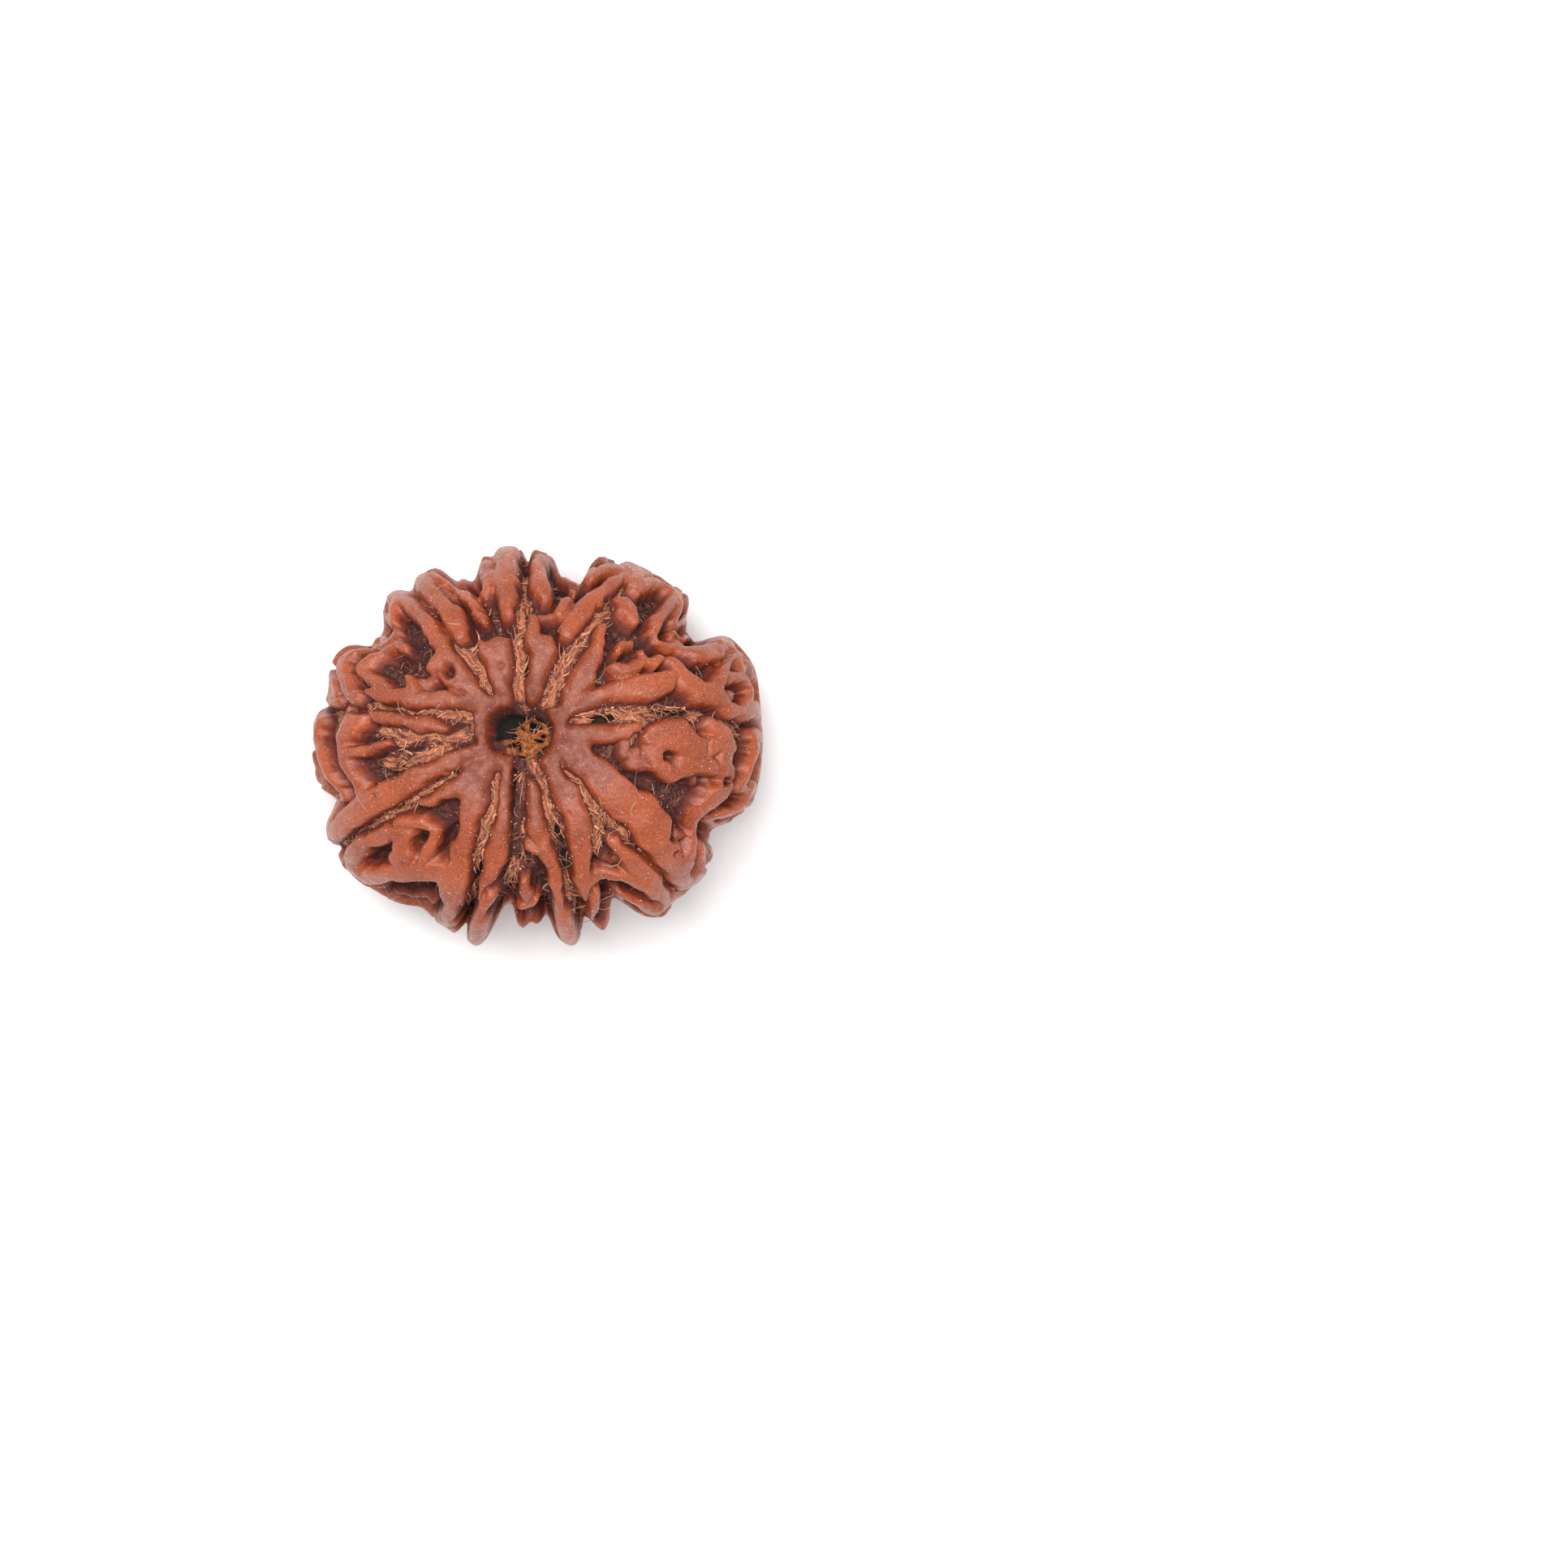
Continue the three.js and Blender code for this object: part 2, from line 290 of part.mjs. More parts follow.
// Lines start and end at degrees from the upper pole.
// A pair of numbers is the least and the most of a random draw.
const CLEFT_DEGREES = { start: 80, end: 160, step: 8 };
const CLEFT_HALF_WIDTH = 0.36;
const RIM_DEGREES = { start: 97, end: 161, step: 5 };
const RIM_HALF_WIDTHS = [0.38, 0.8];
const RIM_EDGE = 0.4; // from the middle of a cleft to the edge of its rim
const RIM_NARROWS = { from: 138, halfWidth: 0.8, sideways: 0.86 }; // near the pole, to shares of its size

// The bars that join the rims of a panel, and the knobs below them.
const BAR_END = 152;
const BAR_STARTS = [92, 97];
const BAR_SPACINGS = [2.3, 3.2]; // in millimetres along the flank
const BAR_HALF_WIDTHS = [0.45, 0.9];
const BAR_SLANTS = [-9, 9]; // in degrees, from one end to the other
const BAR_WAVES = [-2.5, 2.5]; // in degrees, at each point
const BAR_INSET = 0.9; // from the middle of a cleft to the end of a bar
const BAR_MIDDLES = [0.35, 0.65]; // the inner points of a wide panel's bars, as shares of the panel
const OPEN_BARS = 0.3; // the share of bars that stop short at their start, and as many at their end
const NARROWEST_PANEL = 2.8; // that has bars
const WIDE_PANEL = 5; // from here on bars have four points and a knob
const KNOB_MIDDLES = [0.38, 0.62];
const KNOB_SHIFTS = [-4, 4];
const KNOB_DEGREES = [2, 8]; // from its bar to its top and to its tip
const KNOB_TOPS = [0.4, 0.75];
const KNOB_TIPS = [0.26, 0.5];

// The plates that the panels end in round the lower pit.
const PLATE_DEGREES = { start: 150, end: 172, waist: [5, 8] };
const PLATE_MIDDLES = [0.45, 0.55];
const PLATE_HALF_WIDTHS = [[0.5, 0.7], [0.55, 0.72], [0.36, 0.5]];

// An upper ridge that ends close enough to the outline hangs on over the widest line.
const OVERHANG_FROM = 0.88; // as a share of the way out to it
const OVERHANG_START = 91;
const OVERHANG_ENDS = [96, 110];
const OVERHANG_SHIFTS = [-0.45, 0.45]; // sideways, at its end
const OVERHANG_TAPER = 0.8;

const RULE_SEED = 4177;
const RANDOM_FACTOR = 16807;
const RANDOM_MODULUS = 2147483647;
const SWING = 6; // degrees that the lines of the flank and underside swing to either side on their way down
const SWING_PACE = 5; // of the swing's phase, for each degree on the way down
const SWING_TURNS = 3; // its full changes from side to side, once round the seed

// The body before its outline bulges and its poles are dimpled
const HALF = { x: 13.4, y: 11.95, z: 9.7 };
const ALMOST_WIDEST = 0.999; // a drawn point further out than this share counts as this far out
const radians = THREE.MathUtils.degToRad;
const clamp = THREE.MathUtils.clamp;
const smoothstep = THREE.MathUtils.smoothstep;

// The Park-Miller generator, so that the ridges made by rule are the same each time.
function randomSource(seed) {
  let state = seed;
  return (low, high) => {
    state = (state * RANDOM_FACTOR) % RANDOM_MODULUS;
    return low + (state / RANDOM_MODULUS) * (high - low);
  };
}

function outlineRise(azimuth) {
  let rise = 0;
  for (const [middle, halfWidth, height] of OUTLINE_BULGES) {
    let off = Math.abs(azimuth - middle) % 360;
    off = Math.min(off, 360 - off);
    rise += height * Math.exp(-((off / halfWidth) ** 2));
  }
  return rise;
}

// How far the ridge tops lie from the seed's middle in a direction, as a point.
function crestPoint(direction) {
  const plan = Math.hypot(direction.x / HALF.x, direction.y / HALF.y);
  const level = Math.abs(direction.z) / HALF.z;
  const reach = (plan ** FLANK_SQUARENESS + level ** FLANK_SQUARENESS) ** (-1 / FLANK_SQUARENESS);
  const point = direction.clone().multiplyScalar(reach);
  const azimuth = THREE.MathUtils.radToDeg(Math.atan2(point.y, point.x));
  const bulge = outlineRise((azimuth + 360) % 360) * (plan * reach) ** OUTLINE_POWER;
  const pole = direction.z > 0 ? UPPER_PIT : LOWER_PIT;
  const fromPole = Math.hypot(point.x - pole.x, point.y - pole.y);
  const dimple = DIMPLE_DEPTH * Math.exp(-((fromPole / DIMPLE_SPREAD) ** 2));
  return point.addScaledVector(direction, bulge - dimple);
}

// The point of the ridge tops of the upper side above a place in plan.
function crestOver(x, y) {
  const plan = Math.min(Math.hypot(x / HALF.x, y / HALF.y), ALMOST_WIDEST);
  const height = HALF.z * (1 - plan ** FLANK_SQUARENESS) ** (1 / FLANK_SQUARENESS);
  return crestPoint(new THREE.Vector3(x, y, height).normalize());
}

// A place on the flank or underside: on the line from the lower pole to the outline at an azimuth.
function crestOnMeridian(azimuth, fromTop, sideways = 0) {
  const side = Math.cos(radians(SWING_TURNS * azimuth));
  const swing = SWING * Math.sin(radians(SWING_PACE * (fromTop - 90))) * side;
  const cos = Math.cos(radians(azimuth + swing));
  const sin = Math.sin(radians(azimuth + swing));
  const out = new THREE.Vector2(cos, sin).divideScalar(Math.hypot(cos / HALF.x, sin / HALF.y));
  const pole = new THREE.Vector2(LOWER_PIT.x, LOWER_PIT.y);
  const along = out.clone().sub(pole);
  const place = pole.clone().addScaledVector(along, Math.sin(radians(fromTop)));
  place.addScaledVector(new THREE.Vector2(-along.y, along.x).normalize(), sideways);
  return crestPoint(new THREE.Vector3(place.x, place.y, HALF.z * Math.cos(radians(fromTop))).normalize());
}

function upperLine(points) {
  return points.map(([x, y, halfWidth]) => ({ at: crestOver(x, y), halfWidth }));
}

// The part of an upper ridge that hangs over the widest line, if that end of it comes close enough.
function overhang([x, y, halfWidth], random) {
  const end = random(...OVERHANG_ENDS);
  const sideways = random(...OVERHANG_SHIFTS);
  if (Math.hypot(x / HALF.x, y / HALF.y) < OVERHANG_FROM) return [];
  const azimuth = THREE.MathUtils.radToDeg(Math.atan2(y, x));
  return [
    { at: crestOnMeridian(azimuth, OVERHANG_START), halfWidth },
    { at: crestOnMeridian(azimuth, end, sideways), halfWidth: OVERHANG_TAPER * halfWidth },
  ];
}

function upperRidges() {
  const random = randomSource(RULE_SEED);
  return UPPER_RIDGES.map((points) => {
    const first = overhang(points[0], random);
    const last = overhang(points[points.length - 1], random);
    return [...first.reverse(), ...upperLine(points), ...last];
  });
}

// The clefts of the flank and underside, from the widest line to the lower pit.
function lowerClefts() {
  const { start, end, step } = CLEFT_DEGREES;
  return CLEFT_AZIMUTHS.map((azimuth) => {
    const line = [];
    for (let fromTop = start; fromTop <= end; fromTop += step)
      line.push({ at: crestOnMeridian(azimuth, fromTop), halfWidth: CLEFT_HALF_WIDTH });
    return line;
  });
}

// A rim of a cleft on the flank and underside, on one side of it.
function lowerRim(azimuth, side, random) {
  const line = [];
  for (let fromTop = RIM_DEGREES.start; fromTop <= RIM_DEGREES.end; fromTop += RIM_DEGREES.step) {
    const narrow = fromTop > RIM_NARROWS.from;
    const halfWidth = random(...RIM_HALF_WIDTHS) * (narrow ? RIM_NARROWS.halfWidth : 1);
    const sideways = side * (RIM_EDGE + halfWidth) * (narrow ? RIM_NARROWS.sideways : 1);
    line.push({ at: crestOnMeridian(azimuth, fromTop, sideways), halfWidth });
  }
  return line;
}

// The plates and knobs of one panel of the flank, between the clefts at two azimuths.
function panelRidges(start, end, random) {
  const lines = [];
  let fromTop = random(...BAR_STARTS);
  while (fromTop < BAR_END) {
    const radius = crestOnMeridian((start + end) / 2, fromTop).length();
    const width = radians(end - start) * HALF.x * Math.sin(radians(fromTop));
    if (width > NARROWEST_PANEL) {
      const inset = BAR_INSET / width;
      const wide = width > WIDE_PANEL;
      const shares = wide ? [inset, ...BAR_MIDDLES, 1 - inset] : [inset, 0.5, 1 - inset];
      const slant = random(...BAR_SLANTS);
      const line = [];
      for (const share of shares) {
        const down = fromTop + slant * (share - 0.5) + random(...BAR_WAVES);
        const at = crestOnMeridian(start + share * (end - start), down);
        line.push({ at, halfWidth: random(...BAR_HALF_WIDTHS) });
      }
      const kind = random(0, 1);
      if (kind < OPEN_BARS) line.pop();
      else if (kind < 2 * OPEN_BARS) line.shift();
      lines.push(line);
      const middle = start + random(...KNOB_MIDDLES) * (end - start);
      if (wide) {
        const [top, tip] = KNOB_DEGREES;
        const upper = { at: crestOnMeridian(middle, fromTop + top), halfWidth: random(...KNOB_TOPS) };
        const shifted = middle + random(...KNOB_SHIFTS);
        lines.push([upper, { at: crestOnMeridian(shifted, fromTop + tip), halfWidth: random(...KNOB_TIPS) }]);
      }
    }
    fromTop += THREE.MathUtils.radToDeg(random(...BAR_SPACINGS) / radius);
  }
  return lines;
}

// The plate that a panel ends in beside the lower pit.
function polePlate(start, end, random) {
  const middle = start + random(...PLATE_MIDDLES) * (end - start);
  const waist = PLATE_DEGREES.end - random(...PLATE_DEGREES.waist);
  return [PLATE_DEGREES.start, waist, PLATE_DEGREES.end].map((fromTop, i) => ({
    at: crestOnMeridian(middle, fromTop),
    halfWidth: random(...PLATE_HALF_WIDTHS[i]),
  }));
}

function lowerRidges() {
  const random = randomSource(RULE_SEED);
  const lines = CLEFT_AZIMUTHS.flatMap((azimuth) => [-1, 1].map((side) => lowerRim(azimuth, side, random)));
  CLEFT_AZIMUTHS.forEach((start, i) => {
    const last = i + 1 === CLEFT_AZIMUTHS.length;
    const end = last ? CLEFT_AZIMUTHS[0] + 360 : CLEFT_AZIMUTHS[i + 1];
    lines.push(...panelRidges(start, end, random), polePlate(start, end, random));
  });
  return lines;
}

// A line made ready for measuring: its spans, and a ball round all of it.
function prepare(points) {
  const ball = new THREE.Box3().setFromPoints(points.map((p) => p.at)).getBoundingSphere(new THREE.Sphere());
  const spans = [];
  for (let i = 0; i + 1 < points.length; i++) {
    const from = points[i].at;
    const way = points[i + 1].at.clone().sub(from);
    const change = points[i + 1].halfWidth - points[i].halfWidth;
    spans.push({ from, way, lengthSq: way.lengthSq(), halfWidth: points[i].halfWidth, change });
  }
  return { middle: ball.center, reach: ball.radius + LINE_REACH, spans };
}

// How deep a point lies inside a line's ribbon, and the ribbon's half width there.
function insideOf(point, line) {
  let { depth, halfWidth } = FAR_OUTSIDE;
  if (point.distanceTo(line.middle) > line.reach) return { depth, halfWidth };
  for (const span of line.spans) {
    const x = point.x - span.from.x;
    const y = point.y - span.from.y;
    const z = point.z - span.from.z;
    const share = clamp((x * span.way.x + y * span.way.y + z * span.way.z) / span.lengthSq, 0, 1);
    const width = span.halfWidth + share * span.change;
    const away = Math.hypot(x - share * span.way.x, y - share * span.way.y, z - share * span.way.z);
    if (width - away > depth) {
      depth = width - away;
      halfWidth = width;
    }
  }
  return { depth, halfWidth };
}

// How far a point is from the upper side, 0, toward the flank and underside, 1.
function flankShare(point) {
  const [start, full] = FLANK_LEVELS;
  return 1 - smoothstep(point.z / HALF.z, full, start);
}

// Where a point is looked for among the lines: on the flank, moved to and fro in slow and quick waves.
function wavered(point) {
  const wave = ([size, x, y, z, start]) => size * Math.sin(x * point.x + y * point.y + z * point.z + start);
  const moves = WAVES.map(([slow, quick]) => wave(slow) + wave(quick));
  return new THREE.Vector3(...moves).multiplyScalar(WAVE_SIZE * flankShare(point)).add(point);
}

// The union of the ridges at a point: how deep it is inside them, and how wide the ridge there is.
function ridgeAt(point, blend) {
  let total = 0;
  let widths = 0;
  for (const line of ridges) {
    const { depth, halfWidth } = insideOf(point, line);
    if (depth <= FAR_OUTSIDE.depth) continue;
    const weight = Math.exp(depth / blend);
    total += weight;
    widths += weight * halfWidth;
  }
  if (!total) return FAR_OUTSIDE;
  return { depth: blend * Math.log(total), halfWidth: widths / total };
}

const ridges = [...upperRidges(), ...lowerRidges()].map(prepare);
const saddles = UPPER_SADDLES.map(upperLine).map(prepare);
const pits = UPPER_PITS.map(({ depth, line }) => ({ depth, line: prepare(upperLine(line)) }));
const clefts = [...UPPER_CLEFTS.map(upperLine), ...lowerClefts()].map(prepare);

// The rounded edge of a ridge, from 0 at its foot to 1.
function rounded(share) {
  const inside = clamp(share, 0, 1);
  return Math.sqrt(inside * (2 - inside));
}

// The depth of the surface below the ridge tops.
function reliefAt(crest) {
  const point = wavered(crest);
  const plan = Math.hypot(crest.x / HALF.x, crest.y / HALF.y);
  const full = THREE.MathUtils.lerp(RELIEF_AT_POLE, RELIEF_AT_EQUATOR, smoothstep(plan, ...RELIEF_SPREAD));
  const ridge = ridgeAt(point, THREE.MathUtils.lerp(...BLENDS, flankShare(crest)));
  const inside = ridge.depth + RIDGE_FOOT;
  let floor = full;
  let slit = 0;
  for (const cleft of clefts) {
    const near = insideOf(point, cleft);
    floor = Math.min(floor, full * (1 - (1 - CLEFT_FLOOR) * smoothstep(near.depth, ...CLEFT_BANK)));
    const slitEdge = near.halfWidth - SLIT_HALF_WIDTH;
    slit = Math.max(slit, CLEFT_SLIT * smoothstep(near.depth, slitEdge, near.halfWidth));
  }
  const rounding = clamp(ridge.halfWidth, ...RIDGE_ROUNDINGS);
  let edge = rounded(inside / rounding);
  for (const saddle of saddles) {
    const depth = insideOf(point, saddle).depth + RIDGE_FOOT;
    edge = Math.max(edge, SADDLE_SHARE * rounded(depth / rounding));
  }
  const rise = CREST_RISE * (clamp(inside, 0, 1) - CREST_EVEN);
  let pitted = 0;
  for (const { depth, line } of pits)
    pitted = Math.max(pitted, depth * edge * smoothstep(insideOf(point, line).depth, ...PIT_EDGE));
  return (floor + slit) * (1 - edge) - rise * edge + pitted;
}

// The radius of a pit's rim in a direction, between those listed.
function rimRadius(rim, direction) {
  const first = rim[0][0];
  const azimuth = first + THREE.MathUtils.euclideanModulo(THREE.MathUtils.radToDeg(direction) - first, 360);
  const closed = [...rim, [first + 360, rim[0][1]]];
  const next = closed.findIndex(([end]) => end > azimuth);
  const [start, radius] = closed[next - 1];
  const [end, nextRadius] = closed[next];
  return THREE.MathUtils.lerp(radius, nextRadius, (azimuth - start) / (end - start));
}

function poleDepth(point) {
  const pit = point.z > 0 ? UPPER_PIT : LOWER_PIT;
  const x = point.x - pit.x;
  const y = point.y - pit.y;
  return pit.depth * (1 - smoothstep(Math.hypot(x, y) / rimRadius(pit.rim, Math.atan2(y, x)), ...PIT_WALL));
}

// A point of the finished surface, in a direction from the seed's middle.
function surfacePoint(direction) {
  const point = crestPoint(direction);
  return point.addScaledVector(direction, -Math.max(reliefAt(point), poleDepth(point)));
}

// A heap of edges, the one that changes the form least on top.
class EdgeHeap {
  constructor() {
    this.items = [];
  }

  push(item) {
    const items = this.items;
    let at = items.length;
    items.push(item);
    while (at > 0) {
      const parent = (at - 1) >> 1;
      if (items[parent].cost <= item.cost) break;
      items[at] = items[parent];
      at = parent;
    }
    items[at] = item;
  }

  pop() {
    const items = this.items;
    const top = items[0];
    const last = items.pop();
    if (!items.length) return top;
    let at = 0;
    for (;;) {
      let child = 2 * at + 1;
      if (child >= items.length) break;
      if (child + 1 < items.length && items[child + 1].cost < items[child].cost) child += 1;
      if (items[child].cost >= last.cost) break;
      items[at] = items[child];
      at = child;
    }
    items[at] = last;
    return top;
  }
}

// The squared distance to a set of planes, as the ten numbers of a symmetric 4 by 4 matrix.
function planeSum(plane, weight) {
  const { normal: n, constant: d } = plane;
  return [n.x * n.x, n.x * n.y, n.x * n.z, n.x * d, n.y * n.y, n.y * n.z, n.y * d, n.z * n.z, n.z * d, d * d]
    .map((value) => value * weight);
}

function planeCost(q, p) {
  return q[0] * p.x * p.x + 2 * q[1] * p.x * p.y + 2 * q[2] * p.x * p.z + 2 * q[3] * p.x + q[4] * p.y * p.y
    + 2 * q[5] * p.y * p.z + 2 * q[6] * p.y + q[7] * p.z * p.z + 2 * q[8] * p.z + q[9];
}

// Thins a closed surface to a number of facets by joining neighbouring points, least change first.
// Each facet keeps facing away from the seed's middle, so the surface never crosses itself.
function thinned(points, triangles, facets) {
  const around = points.map(() => new Set());
  const sums = points.map(() => new Array(10).fill(0));
  const changes = new Int32Array(points.length);
  const plane = new THREE.Plane();
  const triangle = new THREE.Triangle();
  let left = triangles.length;

  triangles.forEach((corners, index) => {
    triangle.set(...corners.map((corner) => points[corner]));
    const sum = planeSum(triangle.getPlane(plane), triangle.getArea());
    for (const corner of corners) {
      around[corner].add(index);
      sum.forEach((value, i) => {
        sums[corner][i] += value;
      });
    }
  });

  const neighbours = (at) => {
    const found = new Set();
    for (const index of around[at]) {
      for (const corner of triangles[index]) {
        if (corner !== at) found.add(corner);
      }
    }
    return found;
  };

  const matrix = new THREE.Matrix3();
  const bestPoint = (a, b, q) => {
    matrix.set(q[0], q[1], q[2], q[1], q[4], q[5], q[2], q[5], q[7]);
    const middle = points[a].clone().lerp(points[b], 0.5);
    const size = q[0] + q[4] + q[7];
    if (Math.abs(matrix.determinant()) > LEAST_CURVE * size ** 3) {
      const exact = new THREE.Vector3(-q[3], -q[6], -q[8]).applyMatrix3(matrix.invert());
      if (exact.distanceTo(middle) < points[a].distanceTo(points[b])) return exact;
    }
    const choices = [middle, points[a].clone(), points[b].clone()];
    return choices.reduce((best, p) => (planeCost(q, p) < planeCost(q, best) ? p : best));
  };

  const heap = new EdgeHeap();
  const offer = (a, b) => {
    const q = sums[a].map((value, i) => value + sums[b][i]);
    const at = bestPoint(a, b, q);
    const cost = planeCost(q, at) + LENGTH_COST * points[a].distanceToSquared(points[b]);
    heap.push({ cost, a, b, at, q, stamp: changes[a] + changes[b] });
  };

  const before = new THREE.Vector3();
  const after = new THREE.Vector3();
  const staysOutward = (moved, other, at) => {
    for (const index of around[moved]) {
      const corners = triangles[index];
      if (corners.includes(other)) continue;
      triangle.set(...corners.map((corner) => points[corner]));
      triangle.getNormal(before);
      triangle.set(...corners.map((corner) => (corner === moved ? at : points[corner])));
      triangle.getNormal(after);
      const outward = after.dot(triangle.a) / triangle.a.length();
      if (outward < LEAST_OUTWARD || before.dot(after) < LEAST_KEPT) return false;
    }
    return true;
  };

  points.forEach((_, a) => {
    for (const b of neighbours(a)) if (a < b) offer(a, b);
  });
  while (left > facets && heap.items.length) {
    const { a, b, at, q, stamp } = heap.pop();
    if (changes[a] < 0 || changes[b] < 0 || stamp !== changes[a] + changes[b]) continue;
    const shared = [...neighbours(a)].filter((corner) => neighbours(b).has(corner));
    if (shared.length !== 2 || !staysOutward(a, b, at) || !staysOutward(b, a, at)) continue;
    points[a].copy(at);
    sums[a] = q;
    for (const index of around[b]) {
      const corners = triangles[index];
      if (corners.includes(a)) {
        for (const corner of corners) if (corner !== b) around[corner].delete(index);
        triangles[index] = null;
        left -= 1;
      } else {
        corners[corners.indexOf(b)] = a;
        around[a].add(index);
      }
    }
    around[b].clear();
    changes[b] = -1;
    changes[a] += 1;
    for (const corner of neighbours(a)) offer(a, corner);
  }
  return triangles.filter(Boolean);
}

function seedGeometry() {
  const ball = new THREE.IcosahedronGeometry(1, FINE_STEPS - 1);
  ball.deleteAttribute("normal");
  ball.deleteAttribute("uv");
  const sphere = mergeVertices(ball, SAME_CORNER);
  const places = sphere.getAttribute("position");
  const points = [];
  for (let i = 0; i < places.count; i++)
    points.push(surfacePoint(new THREE.Vector3().fromBufferAttribute(places, i).normalize()));
  const lowest = Math.min(...points.map((p) => p.z)) + BASE_CUT;
  for (const point of points) point.z = Math.max(point.z, lowest);
  const triangles = [];
  for (let i = 0; i < sphere.index.count; i += 3)
    triangles.push([0, 1, 2].map((k) => sphere.index.getX(i + k)));
  const kept = thinned(points, triangles, FACETS);

  const surface = new THREE.BufferGeometry().setFromPoints(kept.flat().map((corner) => points[corner]));
  surface.computeBoundingBox();
  const size = surface.boundingBox.getSize(new THREE.Vector3());
  const middle = surface.boundingBox.getCenter(new THREE.Vector3());
  surface.translate(-middle.x, -middle.y, -lowest);
  surface.scale(SEED_LENGTH / size.x, SEED_WIDTH / size.y, SEED_HEIGHT / size.z);
  const corners = surface.getAttribute("position");
  for (let i = 0; i < corners.count; i++) if (corners.getZ(i) < FLAT_REACH) corners.setZ(i, 0);
  const joined = mergeVertices(surface, SAME_CORNER);
  joined.computeVertexNormals();
  return joined;
}

const shell = new THREE.MeshStandardMaterial({ color: 0xb06446, roughness: 0.5, metalness: 0 });
const seed = new THREE.Mesh(seedGeometry(), shell);
seed.name = "seed";

const rudraksha = new THREE.Group();
rudraksha.add(seed);

export default rudraksha;
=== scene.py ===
"""A rudraksha seed, the deeply sculpted stone of the fruit of Elaeocarpus ganitrus, seen straight on to
its upper pole. Its surface is drawn from the same ridges and clefts as the solid that it replaces, much
finer, and then dressed with fibre, lint and dust. The tables are in millimetres and the scene in metres."""

import math

import bmesh
import bpy
import numpy as np
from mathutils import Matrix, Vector


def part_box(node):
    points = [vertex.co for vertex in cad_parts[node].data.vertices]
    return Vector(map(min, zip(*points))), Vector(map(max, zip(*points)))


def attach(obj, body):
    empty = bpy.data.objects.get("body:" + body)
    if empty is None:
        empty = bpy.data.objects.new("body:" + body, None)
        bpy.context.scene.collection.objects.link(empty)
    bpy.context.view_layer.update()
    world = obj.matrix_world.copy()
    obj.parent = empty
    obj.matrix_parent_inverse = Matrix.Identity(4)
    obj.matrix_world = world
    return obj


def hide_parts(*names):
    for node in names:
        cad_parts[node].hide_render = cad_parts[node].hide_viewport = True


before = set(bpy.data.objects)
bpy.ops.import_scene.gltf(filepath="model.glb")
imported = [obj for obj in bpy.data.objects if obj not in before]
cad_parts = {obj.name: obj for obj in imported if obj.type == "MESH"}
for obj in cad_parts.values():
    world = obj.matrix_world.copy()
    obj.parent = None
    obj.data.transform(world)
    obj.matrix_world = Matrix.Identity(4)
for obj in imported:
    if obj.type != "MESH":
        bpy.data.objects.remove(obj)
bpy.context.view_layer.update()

MM = 0.001

# The body: a rounded, slightly flattened ball, measured at the ridge tops
HALF = np.array([13.4, 11.95, 9.7])
FLANK_SQUARENESS = 2.35
DIMPLE_DEPTH = 1.3
DIMPLE_SPREAD = 3.2
OUTLINE_POWER = 6
BASE_CUT = 0.3
ALMOST_WIDEST = 0.999

# The relief
RELIEF_AT_POLE = 0.9
RELIEF_AT_EQUATOR = 1.6
CLEFT_FLOOR = 0.62
CLEFT_SLIT = 0.12
RELIEF_SPREAD = (0.15, 0.95)
CLEFT_BANK = (-0.5, 0.05)
SLIT_HALF_WIDTH = 0.14
RIDGE_FOOT = 0.16
RIDGE_ROUNDINGS = (0.34, 0.5)
CREST_RISE = 0.1
CREST_EVEN = 0.5
SADDLE_SHARE = 0.72
PIT_EDGE = (-0.2, 0.16)
BLENDS = (0.1, 0.22)
FLANK_LEVELS = (0.45, 0.05)
WAVE_SIZE = 0.26
# Along x, y and z by two waves each: size, turn for each millimetre along x, y and z, turn at the middle.
WAVES = (
    ((1, 0, 1.3, 0.7, 1), (0.6, 0, -1.7, 2.9, 2)),
    ((1, 0.9, 0, 1.2, 2.1), (0.6, 2.6, 0, 1.9, 0.4)),
    ((1, 1.4, -0.8, 0, 0.6), (0.6, 2.1, 3.1, 0, 1.3)),
)
RIBBON_REACH = 2.0
# What a line counts for beyond its reach
FAR_OUTSIDE = -1.0
FAR_HALF_WIDTH = 0.5
LEAST_WEIGHT = 1e-9

# What the fine surface has beyond the solid's relief. Rows of noise are its share, its length and its seed
NOISE_CELLS = 32
NOISE_GAIN = 1.6
RAGGED_EDGES = ((0.13, 0.9, 21), (0.13 / 3, 0.35, 24))
SKIN_WAVES = 0.09
SKIN_NOISE = ((1, 1.5, 3), (0.5, 0.7, 4))
FLOOR_ROUGHNESS = 0.16
FLOOR_NOISE = ((1, 0.55, 5), (0.6, 0.24, 6))
STRAND_ROUGHNESS = 0.13
STRAND_SPACING = (0.16, 1.1)
STRAND_NOISE = ((1, 1.0, 8),)
IN_CLEFT = 0.5
CLEFT_EVENNESS = 0.4
SLIT_DEPTH = 0.9
SLIT_EDGE = (-0.14, 0.02)
STAIN_EDGE = (-0.2, 0.3)
STAIN_NOISE = ((0.2, 0.5, 9),)
RIM_NOISE = ((0.03, 0.5, 11),)
